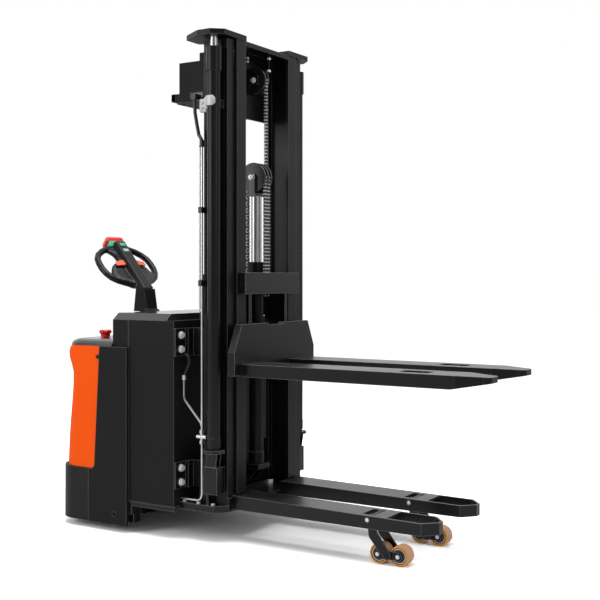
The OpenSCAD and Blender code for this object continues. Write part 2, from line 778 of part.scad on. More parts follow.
module front_chain() {
  z = carriage_anchor_z - chain_wheel_z;
  color("#3a3a3c") for (s = [-1, 1]) translate([mid_x + chain_r, s * strand_y, chain_wheel_z]) {
    chain(front_links);
    chain_anchor(front_links, [z, z - 37], z - 42);
  }
}

module upper_chain() {
  color("#3a3a3c") translate([upper_chain_x, pulley_y, pulley_z]) chain(upper_links);
}

// Rollers

// Pair of rollers on one axis, with their axle stubs towards y_root
module rollers(x, z, y0) {
  color("#38383a") both_sides() difference() {
    pin_y(x, z, roller_r - slide_gap, y0, y0 + roller_w);
    pin_y(x, z, roller_pin_r + run_gap, y0 - 1, y0 + roller_w + 1);
    pin_y(x, z, roller_r - 12, y0 - 1, y0 + 2);
    pin_y(x, z, roller_r - 12, y0 + roller_w - 2, y0 + roller_w + 1);
  }
}

module outer_mast_rollers() { rollers(roller_x, high_mast_roller_z, inner_web_y + web_t + 2); }

module inner_mast_rollers() { rollers(outer_roller_x, low_mast_roller_z, outer_y + 2); }

module upper_carriage_rollers() { rollers(roller_x, high_roller_z, inner_y + 2); }

module lower_carriage_rollers() { rollers(roller_x, low_roller_z, inner_y + 2); }

// Carriage and forks

module carriage() {
  color("#242426") {
    // Fork plate, cut away over each fork's channel
    translate([-plate_t, 0, 0]) rotate([90, 0, 90]) linear_extrude(plate_t) difference() {
      polygon([
        [-plate_half, plate_low], [-plate_half, plate_shoulder], [-plate_top_half, plate_top],
        [-70, plate_top], [-60, plate_top - 9], [60, plate_top - 9], [70, plate_top],
        [plate_top_half, plate_top], [plate_half, plate_shoulder], [plate_half, plate_low]
      ]);
      for (s = [-1, 1])
        translate([s * fork_y - fork_w / 2, plate_low - 1]) square([fork_w, 41]);
    }
    both_sides() {
      difference() {
        block([-160, bar_y, bar_low], [-plate_t, bar_y + bar_t, plate_top - 20]);
        // Room for the leg under a lowered carriage
        block([leg_root_x - leg_gap, bar_y - 1, bar_low - 1],
              [-plate_t, bar_y + bar_t + 1, fork_z - fork_top_t]);
        pin_y(roller_x, low_roller_z, 13.9, bar_y - 1, bar_y + bar_t + 1);
      }
      difference() {
        block([-160, bar_y, plate_top - 20], [-44, bar_y + bar_t, bar_top]);
        pin_y(roller_x, high_roller_z, 13.9, bar_y - 1, bar_y + bar_t + 1);
      }
      for (z = [low_roller_z, high_roller_z])
        pin_y(roller_x, z, roller_pin_r, bar_y - 6, inner_y + 2 + roller_w);
    }
    // Upper crossbar with the anchor of the front chains
    block([-44, -225, carriage_anchor_z - 30], [-20, 225, carriage_anchor_z + 68]);
    difference() {
      block([-68, -26, carriage_anchor_z - 30], [-44, 26, carriage_anchor_z]);
      for (s = [-1, 1]) translate([mid_x + chain_r, s * strand_y, carriage_anchor_z - 31])
        cylinder(r = anchor_r + 0.4, h = 32);
    }
  }
}

// Outline of a fork in plan, drawn in from its edge by the distance t
module fork_plan(t) {
  half = fork_w / 2 - t;
  tip = fork_tip_w / 2 - t;
  polygon([[0, -half], [fork_taper_x, -half], [fork_len - 30, -tip], [fork_len - 30, tip],
           [fork_taper_x, half], [0, half]]);
  intersection() {
    translate([fork_len - 31, -tip]) round_rect([-40, 0], [31 - t, 2 * tip], 26);
    translate([fork_len - 31, -tip]) square([40, 2 * tip]);
  }
}

module fork() {
  color("#2a2a2c") translate([0, fork_y, 0]) difference() {
    intersection() {
      translate([0, 0, fork_z - fork_d]) linear_extrude(fork_d) fork_plan(0);
      side_plate(-fork_w, fork_w)
        polygon([
          [0, fork_z - fork_d], [fork_taper_x - 20, fork_z - fork_d],
          [fork_len + 1, fork_z - 5 - fork_tip_d], [fork_len + 1, fork_z - 5],
          [fork_taper_x, fork_z], [0, fork_z]
        ]);
    }
    // Channel under the top plate, closed at the tip
    translate([-1, -fork_w / 2 + fork_wall, fork_z - fork_d - 1])
      cube([fork_taper_x - 10, fork_w - 2 * fork_wall, fork_d + 1 - fork_top_t]);
    // Slot through the top plate
    translate([0, 0, fork_z - fork_top_t - 1]) linear_extrude(fork_top_t + 2)
      round_rect([745, -40], [880, 40], 8);
  }
}

module right_fork() { on_right() fork(); }

module left_fork() { fork(); }

// Battery box

module battery_box() {
  color("#2b2b2d") difference() {
    block([box_rear, -box_half, box_z], [box_front, box_half, box_top]);
    block([box_rear + sheet, -box_half + sheet, box_z + sheet],
          [box_front - 8, box_half - sheet, box_top + 1]);
    // Seam of the side doors
    both_sides() block([panel_front - 1, box_half - 1.5, box_z - 1],
                       [panel_front + 1, box_half + 1, box_top + 1]);
    for (z = [292, 893], b = [-1, 1]) both_sides()
      pin_x(box_front - 9, box_front + 1, box_half - 42, z + b * 32, 7);
  }
}

// Outline of the lid across the truck, drawn in by the distance t
module lid_section(t) {
  polygon([
    [-box_half + t, box_top], [-box_half + lid_bevel + t / 2, box_top + lid_h - t],
    [box_half - lid_bevel - t / 2, box_top + lid_h - t], [box_half - t, box_top]
  ]);
}

module box_lid() {
  color("#3a3a3c") {
    difference() {
      translate([box_rear + 3, 0, 0]) rotate([90, 0, 90])
        linear_extrude(lid_front - box_rear - 3) lid_section(0);
      translate([box_rear + 6, 0, 0]) rotate([90, 0, 90])
        linear_extrude(lid_front - box_rear - 9) lid_section(sheet);
      translate([0, 0, box_top - 1]) block([box_rear + 6, -box_half + sheet, 0],
                                           [lid_front - 3, box_half - sheet, 1.01]);
    }
    block([lid_front, -box_half + sheet, box_top - 6], [box_front - 8, box_half - sheet, box_top - 2]);
    block([lid_front - 4, -box_half + 60, box_top - 6], [lid_front, box_half - 60, box_top + 2]);
  }
}

module battery() {
  color("#3c3f44") {
    block([-620, -330, box_z + sheet], [-400, 330, 700]);
    for (i = [0:11]) translate([-600 + 36, -302 + i * 55, 700]) cylinder(r = 16, h = 12);
  }
}

module pump_unit() {
  color("#55585c") {
    translate([-350, -150, box_z + sheet]) cylinder(d = 76, h = 260);
    block([-385, -240, box_z + sheet + 260], [-315, -60, box_z + sheet + 330]);
    block([-388, 0, box_z + sheet], [-312, 300, 640]);
  }
}

// Drive hood

// One level of the hood: front corners square, rear corners rounded by arcs
function hood_ring(level, t) =
  let (
    x0 = hood_rear + level[1] + t,
    r = max(10, hood_corner - level[1] * 0.6 - t),
    y0 = hood_half - 4 - t,
    n = 8
  )
  concat(
    [[box_rear - 1, y0, level[0]]],
    [for (i = [0:n]) [x0 + r - r * sin(90 * i / n), y0 - r + r * cos(90 * i / n), level[0]]],
    [for (i = [0:n]) [x0 + r - r * cos(90 * i / n), r - y0 - r * sin(90 * i / n), level[0]]],
    [[box_rear - 1, -y0, level[0]]]
  );

// Solid through a stack of rings that have the same number of points
module loft(rings) {
  n = len(rings[0]);
  m = len(rings);
  polyhedron(
    points = [for (ring = rings) each ring],
    faces = concat(
      [[for (i = [0:n - 1]) i]],
      [[for (i = [n - 1:-1:0]) (m - 1) * n + i]],
      [for (k = [0:m - 2], i = [0:n - 1])
        [k * n + i, (k + 1) * n + i, (k + 1) * n + (i + 1) % n]],
      [for (k = [0:m - 2], i = [0:n - 1])
        [k * n + i, (k + 1) * n + (i + 1) % n, k * n + (i + 1) % n]]
    )
  );
}

module hood_solid(t) { loft([for (level = hood_profile) hood_ring(level, t)]); }

module hood_shell() {
  color("#242426") difference() {
    hood_solid(hood_skin);
    translate([0, 0, -0.5]) hood_solid(hood_inner);
    translate([0, 0, 0.5]) hood_solid(hood_inner);
  }
}

// Side view of the trims: all of the hood behind the slanted edge of the drive panel
module trim_side() {
  polygon([
    [bumper_rear, bumper_top + 1], [trim_low_x - 14, bumper_top + 1], [trim_low_x, bumper_top + 16],
    [trim_top_x, hood_z - 4], [trim_top_x - 4, hood_z], [bumper_rear, hood_z]
  ]);
}

module hood_trims() {
  color("#f26322") both_sides() intersection() {
    difference() {
      hood_solid(0);
      translate([0, 0, -0.5]) hood_solid(hood_skin);
      translate([0, 0, 0.5]) hood_solid(hood_skin);
    }
    side_plate(292, hood_half + 1) trim_side();
  }
}

// Domed cap on the hood, its rings drawn in as they rise
module hood_top() {
  color("#303032") difference() {
    loft([for (s = [0:4])
      let (a = 90 * s / 4, level = [hood_z + dome_h * sin(a), hood_profile[10][1] - 6])
        hood_ring(level, 52 * (1 - cos(a)))]);
    translate([drive_x, 0, hood_z]) cylinder(r = 62, h = 100);
    translate([estop_x, estop_y, hood_z]) cylinder(r = 16, h = 100);
    translate([0, 0, -1]) loft([for (s = [0:4])
      let (a = 90 * s / 4, level = [hood_z + (dome_h - 4) * sin(a), hood_profile[10][1]])
        hood_ring(level, 6 + 52 * (1 - cos(a)))]);
  }
}

module bumper() {
  color("#29292b") translate([0, 0, skirt_z]) linear_extrude(bumper_top - skirt_z)
    intersection() {
      difference() {
        round_rect([bumper_rear, -hood_half], [0, hood_half], hood_corner);
        round_rect([bumper_rear + 12, -hood_half + 12], [0, hood_half - 12], hood_corner - 12);
      }
      translate([bumper_rear - 1, -hood_half - 1])
        square([bumper_front - bumper_rear, 2 * hood_half + 2]);
    }
}

// Bent side panels of the drive, each with a return flange at its front edge
module drive_side_panels() {
  color("#2c2c2e") both_sides() difference() {
    union() {
      side_plate(hood_half - 3.5, hood_half)
        polygon([
          [bumper_front + 1, skirt_z], [panel_front, skirt_z], [panel_front, hood_z],
          [trim_top_x + 2, hood_z], [trim_low_x + 2, bumper_top + 14],
          [trim_low_x - 12, bumper_top], [bumper_front + 1, bumper_top]
        ]);
      block([panel_front - 4, box_half + 0.5, skirt_z], [panel_front, hood_half - 3, hood_z]);
      block([box_rear + 20, box_half, 200], [box_rear + 60, hood_half - 3, 240]);
      block([box_rear + 20, box_half, 640], [box_rear + 60, hood_half - 3, 680]);
    }
    pin_y(-644, 84, 12, hood_half - 5, hood_half + 1);
  }
}

module turntable_ring() {
  color("#4a4a4c") translate([drive_x, 0, turntable_z]) difference() {
    cylinder(r = 120, h = 16);
    translate([0, 0, -1]) cylinder(r = 80 + run_gap, h = 18);
  }
}

// Drive unit: motor, gear case and the fork arm over the wheel
module drive_unit() {
  color("#3d3f42") translate([drive_x, 0, 0]) rotate(-tiller_turn) {
    translate([0, 0, turntable_z - 6]) cylinder(r = 80, h = 30);
    translate([0, 0, turntable_z + 24]) cylinder(r = 74, h = 210);
    translate([0, 0, turntable_z + 234]) cylinder(r = 60, h = 24);
    translate([0, 0, 244]) cylinder(r = 70, h = turntable_z - 250);
    side_plate(drive_w / 2 + 6, drive_w / 2 + 50) {
      translate([0, drive_r]) circle(52);
      translate([-45, drive_r]) square([90, 250 - drive_r]);
    }
    pin_y(0, drive_r, 20, -drive_w / 2, drive_w / 2 + 8);
    // Steering column up to the tiller
    translate([0, 0, turntable_z + 258]) cylinder(r = 22, h = hood_z - turntable_z - 258 + 20);
  }
}

module drive_wheel() {
  color("#3a2c24") translate([drive_x, 0, drive_r]) rotate([90, 0, -tiller_turn]) rotate_extrude()
    polygon([
      [20 + run_gap, -drive_w / 2 + 8], [88, -drive_w / 2 + 8], [92, -drive_w / 2],
      [drive_r - 5, -drive_w / 2], [drive_r, -drive_w / 2 + 5], [drive_r, drive_w / 2 - 5],
      [drive_r - 5, drive_w / 2], [92, drive_w / 2], [88, drive_w / 2 - 8],
      [20 + run_gap, drive_w / 2 - 8]
    ]);
}

// Casters beside the drive wheel
module caster() {
  color("#47494c") translate([caster_x, caster_y, 0]) {
    translate([0, 0, 160]) cylinder(r = 46, h = 14);
    translate([0, 0, 170]) cylinder(r = 34, h = caster_top - 170);
    translate([0, 0, caster_top - 4]) cylinder(r = 12, h = turntable_z + 10 - caster_top);
    for (y = [-30, 24])
      side_plate(y, y + 6)
        polygon([
          [-30, 162], [30, 162], [26, 140], [-caster_trail + 17, caster_r - 6],
          [-caster_trail + 10, caster_r - 15], [-caster_trail - 10, caster_r - 15],
          [-caster_trail - 17, caster_r - 6], [-caster_trail - 14, caster_r + 14]
        ]);
    pin_y(-caster_trail, caster_r, 8, -25, 25);
  }
}

module right_caster() { on_right() caster(); }

module left_caster() { caster(); }

module caster_tread() {
  color("#2a2a2c") translate([caster_x - caster_trail, caster_y, caster_r])
    rotate([90, 0, 0]) rotate_extrude()
      polygon([
        [8 + run_gap, -21], [22, -21], [26, -16], [caster_r - 18, -16], [caster_r - 14, -20],
        [caster_r - 4, -20], [caster_r, -16], [caster_r, 16], [caster_r - 4, 20],
        [caster_r - 14, 20], [caster_r - 18, 16], [26, 16], [22, 21], [8 + run_gap, 21]
      ]);
}

module right_caster_wheel() { on_right() caster_tread(); }

module left_caster_wheel() { caster_tread(); }

// Steel oil pipe down the mast with its tee, and the branch from the pump
module oil_pipes() {
  color("#c4c6c9") {
    pipe(oil_main, 5);
    pipe(oil_branch, 5);
    for (z = [440, 488]) translate([pipe_x, pipe_y, z]) cylinder(r = 11, h = 14, $fn = 6);
    translate([pipe_x, pipe_y, 454]) cylinder(r = 9, h = 34);
    pin_x(pipe_x - 26, pipe_x + 26, pipe_y, 471, 9);
  }
  color("#222224") {
    // Hose between its coupling and the port on the shelf, then the clamps on the outer rail
    pipe(oil_hose, 8);
    translate([pipe_x, pipe_y, mast_h - 486]) cylinder(r = 12, h = 30, $fn = 6);
    block([pipe_x - 53, pipe_y - 12, shelf_z], [pipe_x - 29, -outer_y - outer_w, shelf_z + 26]);
    for (z = [1147, 1475])
      block([pipe_x - 14, pipe_y - 10, z], [pipe_x + 4, -outer_y - outer_w, z + 26]);
  }
}

// Tiller, drawn over the drive wheel with its own X towards the mast
module in_tiller() {
  translate([drive_x, 0, 0]) rotate(-tiller_turn) children();
}

module tiller_base() {
  color("#2c2c2e") in_tiller() {
    translate([0, 0, hood_z + 20]) cylinder(r = 58, h = 20);
    for (s = [-1, 1])
      difference() {
        side_plate(s > 0 ? 31 : -43, s > 0 ? 43 : -31) {
          translate([-26, hood_z + 38]) square([52, pivot_z - hood_z - 38]);
          translate([0, pivot_z]) circle(26);
        }
        pin_y(0, pivot_z, 9 + run_gap, -50, 50);
      }
  }
}

// Lower arm: a pivot boss with its pin, and the tapered cover on a flared foot
module tiller_arm() {
  color("#222224") in_tiller() {
    pin_y(0, pivot_z, 24, -30, 30);
    pin_y(0, pivot_z, 9, -50, 50);
    block([-16, -24, pivot_z], [16, 24, arm_foot_z]);
    hull() {
      translate([-62, -30, arm_foot_z]) cube([124, 60, 1]);
      translate([-38, -34, arm_neck_z - 1]) cube([70, 68, 1]);
    }
    hull() {
      translate([40, -34, arm_foot_z + 12]) cube([22, 68, 1]);
      translate([40, -38, arm_foot_z - 3]) cube([40, 76, 3]);
    }
  }
}

// Frame of the tiller head: X across its face, Y along the spine, Z out of its face
module in_head() {
  in_tiller() translate([neck_x, 0, arm_neck_z]) rotate([0, head_tilt, 0])
    rotate([0, 0, 90]) rotate([90, 0, 0]) children();
}

// Centre line of a handle loop, from the head's top round to its foot
loop_x = head_w / 2 - grip_r;
loop_path = [
  [28, 333, -24], [62, 327, -26], [102, 309, -28], [132, 285, -30], [loop_x - 6, 254, -30],
  [loop_x, 222, -30], [loop_x, 180, -30], [loop_x - 9, 145, -30], [131, 115, -30],
  [103, 93, -30], [66, 74, -29], [30, 60, -28]
];

module handle_loop() {
  last = len(loop_path) - 1;
  loft([for (i = [0:last])
    let (
      p = loop_path[i],
      d = loop_path[min(i + 1, last)] - loop_path[max(i - 1, 0)],
      a = atan2(d.y, d.x) + 90
    )
    [for (k = [0:11]) let (b = 30 * k)
      [p.x + grip_r * cos(b) * cos(a), p.y + grip_r * cos(b) * sin(a), p.z + grip_r * sin(b)]]
  ]);
}

// Levels of the head's body along its spine: place, half width, top and underside
head_levels = [
  [-22, 33, 12, -24], [12, 34, 10, -34], [36, 42, 8, -43], [54, 66, 4, -47], [74, 98, 0, -48],
  [96, 122, -3, -48], [120, 130, -5, -47], [146, 122, -5, -46], [168, 112, -3, -45],
  [186, 101, -1, -44], [199, 88, 0, -43], [210, 60, 1, -42], [236, 50, 1, -41],
  [270, 51, 0, -42], [290, 62, -4, -43], [308, 78, -9, -44], [324, 72, -11, -44],
  [338, 56, -10, -42]
];

// Ring round the body at one level, flattened towards a rectangle
function head_ring(v) = [for (k = [0:15])
  let (s = sin(22.5 * k), c = cos(22.5 * k), h = (v[2] - v[3]) / 2)
  [v[1] * sign(s) * pow(abs(s), 0.7), v[0], v[3] + h + h * sign(c) * pow(abs(c), 0.8)]];

module tiller_head() {
  color("#262628") difference() {
    in_head() {
      both_heads() handle_loop();
      loft([for (v = head_levels) head_ring(v)]);
      // Raised spine along the middle, narrower at its top
      hull() {
        block([-36, -26, -8], [36, head_len - 2, -4]);
        block([-28, -22, 22], [28, head_len - 6, 26]);
      }
    }
    in_head() {
      head_housing();
      pin_x(-60, 60, throttle_y, throttle_z, throttle_r + run_gap);
    }
    // Seat on the arm's neck
    in_tiller() block([-90, -60, arm_neck_z - 60], [90, 60, arm_neck_z]);
  }
}

// Housing at the head's end
module head_housing() {
  hull() {
    block([-52, head_len - 16, -52], [52, head_len - 2, -2]);
    block([-46, head_len + 8, -54], [46, head_len + 18, 4]);
  }
}

// The children on both sides of the head's spine
module both_heads() {
  children();
  mirror([1, 0, 0]) children();
}

// Green housing, and the green field on the spine
module head_trim() {
  color("#2fa874") in_head() {
    head_housing();
    block([-16, 297, 26], [18, 319, 28]);
  }
}

// Thumb throttle: two pads beside the spine on a shaft through it
module thumb_throttle() {
  color("#f0593a") in_head() {
    both_heads() hull() {
      block([37.5, 168, 2.5], [50, 203, 12]);
      block([72, 170, 1.5], [88, 197, 5]);
    }
    pin_x(-44, 44, throttle_y, throttle_z, throttle_r);
  }
}

module belly_button() {
  color("#e02a1f") in_head() hull() {
    block([-56, head_len + 22, -58], [56, head_len + 30, -6]);
    block([-50, head_len + 40, -54], [50, head_len + 50, 2]);
    block([-cap_half, cap_y - 8, cap_z], [cap_half, cap_y, -8]);
  }
}

module estop_button() {
  color("#d81f1f") translate([estop_x, estop_y, 0]) {
    translate([0, 0, hood_z - 20]) cylinder(r = 15.9, h = dome_h + 22);
    translate([0, 0, hood_z + dome_h + 2]) cylinder(r = 23, h = 17);
    translate([0, 0, hood_z + dome_h + 19]) rotate_extrude()
      polygon([[0, 0], [27, 0], [30, 4], [30, 12], [26, 17], [0, 19]]);
  }
}

// Every piece, moved so that the origin is under the middle of the truck
module placed() { translate([shift_x, 0, 0]) children(); }

placed() base_frame();
placed() right_leg();
placed() left_leg();
placed() right_outer_rail();
placed() left_outer_rail();
placed() outer_crossmembers();
placed() mast_brackets();
placed() chassis_bolts();
placed() right_lift_cylinder();
placed() left_lift_cylinder();
placed() battery_box();
placed() box_lid();
placed() battery();
placed() pump_unit();
placed() hood_shell();
placed() hood_trims();
placed() hood_top();
placed() bumper();
placed() drive_side_panels();
placed() turntable_ring();
placed() oil_pipes();
placed() outer_mast_rollers();
placed() drive_unit();
placed() tiller_base();
placed() drive_wheel();
placed() tiller_arm();
placed() tiller_head();
placed() head_trim();
placed() thumb_throttle();
placed() belly_button();
placed() estop_button();
placed() right_inner_rail();
placed() left_inner_rail();
placed() mast_head();
placed() inner_crossmembers();
placed() side_rods();
placed() free_lift_tube();
placed() rear_chain();
placed() inner_mast_rollers();
placed() lift_rod();
placed() chain_wheel();
placed() top_pulley();
placed() upper_chain();
placed() carriage();
placed() upper_carriage_rollers();
placed() lower_carriage_rollers();
placed() right_fork();
placed() left_fork();
placed() front_chain();
placed() load_arms();
placed() right_bogie();
placed() left_bogie();
placed() right_front_wheel();
placed() right_rear_wheel();
placed() left_front_wheel();
placed() left_rear_wheel();
placed() right_caster();
placed() left_caster();
placed() right_caster_wheel();
placed() left_caster_wheel();
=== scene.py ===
# %% [markdown]
# # An electric stacker, dressed for its picture
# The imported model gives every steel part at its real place, in metres. This lesson
# adds what a drawing leaves out: paint with a grain, worn edges, dust in the corners,
# and the small fittings that are not worth a solid of their own.

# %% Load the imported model
import json
import math

import bmesh
import bpy
from mathutils import Matrix, Vector


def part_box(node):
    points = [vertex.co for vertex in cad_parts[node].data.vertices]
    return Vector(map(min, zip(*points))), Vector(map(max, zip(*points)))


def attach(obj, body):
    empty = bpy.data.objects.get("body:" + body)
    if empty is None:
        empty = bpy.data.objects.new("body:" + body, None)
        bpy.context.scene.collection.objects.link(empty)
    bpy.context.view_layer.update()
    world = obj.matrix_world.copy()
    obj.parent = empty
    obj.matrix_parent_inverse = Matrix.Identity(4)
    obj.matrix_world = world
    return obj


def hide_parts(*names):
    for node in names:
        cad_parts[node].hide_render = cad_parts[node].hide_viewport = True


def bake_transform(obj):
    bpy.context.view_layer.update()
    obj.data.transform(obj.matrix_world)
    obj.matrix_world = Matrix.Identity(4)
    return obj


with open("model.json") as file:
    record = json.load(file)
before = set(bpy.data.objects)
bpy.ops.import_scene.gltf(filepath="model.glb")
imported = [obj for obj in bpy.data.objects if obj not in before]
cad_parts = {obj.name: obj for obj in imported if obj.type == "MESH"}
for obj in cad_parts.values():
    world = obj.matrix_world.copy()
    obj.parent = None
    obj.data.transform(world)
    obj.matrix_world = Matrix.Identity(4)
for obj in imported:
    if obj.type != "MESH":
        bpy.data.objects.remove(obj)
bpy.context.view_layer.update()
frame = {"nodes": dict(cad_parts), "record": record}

# %% [markdown]
# The builder of the solids measured in millimetres, forwards from the front face of the
# fork plate, so new pieces are placed the same way. The carriage gives that face. Places
# that several cells need are named here too.

# %% Places in the part's own millimetres
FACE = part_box("carriage")[1].x
CHAIN_WHEEL_X, CHAIN_WHEEL_Z = -113, 1654      # axle of the chain wheel
PULLEY_X, PULLEY_Z = -140, 2120                # axle of the pulley in the mast's head
CHAIN_PITCH = 15.875
PIPE_Y = -330                                  # plane in which the oil pipes run


def at(x, y, z):
    """A point given in millimetres from the fork plate, in metres of the scene."""
    return Vector((FACE + x / 1000, y / 1000, z / 1000))


print("fork plate at", round(FACE, 4))

# %% [markdown]
# The camera comes first. It stands at the height of a person's chest, some five metres
# away, and its sensor is shifted instead of tilted, which keeps the mast upright.

# %% The camera
CAMERA_PLACE = (2659.6, -4067.7, 1187.2)
CAMERA_TURN = 31.99                # degrees round from the truck's right side to the forks
LENS = 62.6                        # millimetres on a 36 mm sensor
SHIFT_X, SHIFT_Y = 0.0032, -0.0382  # of the sensor, as shares of its width

camera_data = bpy.data.cameras.new("camera")
camera_data.lens = LENS
camera_data.shift_x = SHIFT_X
camera_data.shift_y = SHIFT_Y
camera = bpy.data.objects.new("camera", camera_data)
camera.location = at(*CAMERA_PLACE)
camera.rotation_euler = (math.radians(90), 0, math.radians(CAMERA_TURN))
bpy.context.scene.collection.objects.link(camera)
bpy.context.scene.camera = camera
print("camera", [round(c, 3) for c in camera.location])

# %% [markdown]
# A finish on such a truck has the same few effects again and again: corners that are
# not quite sharp and catch the light, a fine grain, patches that are a little duller,
# and dust on what faces up. Each effect is one node group, which the finishes share.

# %% Helpers for node groups
def new_group(name, inputs, outputs):
    """A shader node group with its two ends, and its sockets by name and kind."""
    group = bpy.data.node_groups.new(name, "ShaderNodeTree")
    for label, kind, value in inputs:
        socket = group.interface.new_socket(label, in_out="INPUT", socket_type=kind)
        if value is not None:
            socket.default_value = value
    for label, kind in outputs:
        group.interface.new_socket(label, in_out="OUTPUT", socket_type=kind)
    return group, group.nodes.new("NodeGroupInput"), group.nodes.new("NodeGroupOutput")


def math_node(tree, kind, a, b=None, clamp=False):
    """One Math node, whose inputs are numbers or the sockets that feed it."""
    node = tree.nodes.new("ShaderNodeMath")
    node.operation = kind
    node.use_clamp = clamp
    for socket, value in zip(node.inputs, (a, b)):
        if value is None:
            continue
        if isinstance(value, (int, float)):
            socket.default_value = value
        else:
            tree.links.new(value, socket)
    return node.outputs[0]


def noise_node(tree, vector, scale, detail, rough=0.55):
    """One Noise texture on a vector."""
    node = tree.nodes.new("ShaderNodeTexNoise")
    node.inputs["Detail"].default_value = detail
    node.inputs["Roughness"].default_value = rough
    tree.links.new(vector, node.inputs["Vector"])
    if isinstance(scale, (int, float)):
        node.inputs["Scale"].default_value = scale
    else:
        tree.links.new(scale, node.inputs["Scale"])
    return node.outputs["Fac"]


print("helpers for groups", new_group.__name__, math_node.__name__, noise_node.__name__)

# %% [markdown]
# A pressed or welded edge has a radius of a millimetre or so. The Bevel node rounds the
# shading there without touching the mesh, and where it bends the normal most there is an
# edge. The finishes paint a lighter colour along it, which is worn paint and also a painted
# highlight. The radius is drawn a little large, because the camera stands far off.

# %% The edge group
EDGE_RADIUS = 0.0034     # metres
EDGE_RAYS = 6
EDGE_GAIN = 7.0          # how soon a bent normal counts as an edge
# the least of the lighter edge, worn paint and painted highlight, where the noise is lowest
EDGE_LEAST = 0.15        # wear that is left where the noise is lowest
EDGE_PATCHES = 60.0      # scale of the noise that breaks the wear up


def make_edge_group():
    """Softened normals, and a mask that is 1 along broken stretches of the edges."""
    group, start, end = new_group(
        "soft edge",
        [("Vector", "NodeSocketVector", None), ("Break up", "NodeSocketFloat", EDGE_PATCHES)],
        [("Normal", "NodeSocketVector"), ("Mask", "NodeSocketFloat")],
    )
    bevel = group.nodes.new("ShaderNodeBevel")
    bevel.samples = EDGE_RAYS
    bevel.inputs["Radius"].default_value = EDGE_RADIUS
    geometry = group.nodes.new("ShaderNodeNewGeometry")
    dot = group.nodes.new("ShaderNodeVectorMath")
    dot.operation = "DOT_PRODUCT"
    group.links.new(bevel.outputs[0], dot.inputs[0])
    group.links.new(geometry.outputs["Normal"], dot.inputs[1])
    bent = math_node(group, "SUBTRACT", 1.0, dot.outputs["Value"], clamp=True)
    strong = math_node(group, "MULTIPLY", bent, EDGE_GAIN, clamp=True)
    noise = noise_node(group, start.outputs["Vector"], start.outputs["Break up"], 4.0)
    broken = math_node(group, "ADD", noise, EDGE_LEAST)
    mask = math_node(group, "MULTIPLY", strong, broken, clamp=True)
    group.links.new(bevel.outputs[0], end.inputs["Normal"])
    group.links.new(mask, end.inputs["Mask"])
    return group


EDGE = make_edge_group()
print("group", EDGE.name)

# %% [markdown]
# Powder paint, rolled steel and moulded plastic all have a fine skin. Two noises, one
# fine and one broad, give the height of that skin and the cloudiness of its shine.

# %% The skin group
FINE_SCALE, BROAD_SCALE = 700.0, 6.0


def make_skin_group():
    """A fine height for the bump, and a broad cloud for colour and shine."""
    group, start, end = new_group(
        "skin",
        [("Vector", "NodeSocketVector", None), ("Fine", "NodeSocketFloat", FINE_SCALE),
         ("Broad", "NodeSocketFloat", BROAD_SCALE)],
        [("Height", "NodeSocketFloat"), ("Cloud", "NodeSocketFloat")],
    )
    fine = noise_node(group, start.outputs["Vector"], start.outputs["Fine"], 2.0)
    broad = noise_node(group, start.outputs["Vector"], start.outputs["Broad"], 5.0, 0.6)
    group.links.new(fine, end.inputs["Height"])
    group.links.new(broad, end.inputs["Cloud"])
    return group


SKIN = make_skin_group()
print("group", SKIN.name)

# %% [markdown]
# Dust settles on faces that look up, thicker in some places than in others. The height
# of the normal says how far a face looks up, and a noise makes the patches.

# %% The dust group
DUST_SCALE = 9.0
DUST_START = 0.35        # where the noise is lower than this, a face stays clean
DUST_GAIN = 2.4


def make_dust_group():
    """A mask of dust on the faces that look up."""
    group, start, end = new_group(
        "dust",
        [("Vector", "NodeSocketVector", None), ("Amount", "NodeSocketFloat", 0.2)],
        [("Mask", "NodeSocketFloat")],
    )
    geometry = group.nodes.new("ShaderNodeNewGeometry")
    split = group.nodes.new("ShaderNodeSeparateXYZ")
    group.links.new(geometry.outputs["Normal"], split.inputs[0])
    up = math_node(group, "MULTIPLY", split.outputs["Z"], 1.0, clamp=True)
    noise = noise_node(group, start.outputs["Vector"], DUST_SCALE, 6.0, 0.65)
    patchy = math_node(group, "SUBTRACT", noise, DUST_START, clamp=True)
    lifted = math_node(group, "MULTIPLY", patchy, DUST_GAIN)
    dusty = math_node(group, "MULTIPLY", up, lifted, clamp=True)
    amount = math_node(group, "MULTIPLY", dusty, start.outputs["Amount"], clamp=True)
    group.links.new(amount, end.inputs["Mask"])
    return group


DUST = make_dust_group()
print("group", DUST.name)

# %% [markdown]
# A finish is built from the three groups. The plain numbers stay on the shader's own
# sockets, and only what changes over the surface comes through nodes. Two extras need
# the height on the piece: a chain has a painted highlight on each bare pin end, and a bare
# metal piece may be painted black between certain heights.

# %% The recipe of a finish
# A chain's bare pin ends with a painted highlight: half a band as a share of the pitch, and its
# colour.
PIN_HIGHLIGHT_SHARE = 0.16         # half of a bright stretch of a chain, as a share of the pitch
PIN_HIGHLIGHT_COLOUR = (0.62, 0.62, 0.61)
BAND_COLOUR = (0.014, 0.014, 0.015)
DUST_COLOUR = (0.34, 0.33, 0.31)
GRAIN_DEPTH = 0.0006     # metres
COAT_ROUGH = 0.25


def use_group(tree, group, vector, **values):
    """A group placed in a material, with its own numbers."""
    node = tree.nodes.new("ShaderNodeGroup")
    node.node_tree = group
    tree.links.new(vector, node.inputs["Vector"])
    for label, value in values.items():
        node.inputs[label].default_value = value
    return node


def mix_colour(tree, factor, a, b):
    """Colour a going over to colour b where the factor is 1."""
    node = tree.nodes.new("ShaderNodeMix")
    node.data_type = "RGBA"
    tree.links.new(factor, node.inputs[0])
    for socket, value in ((node.inputs[6], a), (node.inputs[7], b)):
        if isinstance(value, tuple):
            socket.default_value = (*value, 1)
        else:
            tree.links.new(value, socket)
    return node.outputs[2]


def shade(colour, factor):
    """A colour made darker or lighter, within what a surface can give back."""
    return tuple(min(1, c * factor) for c in colour)


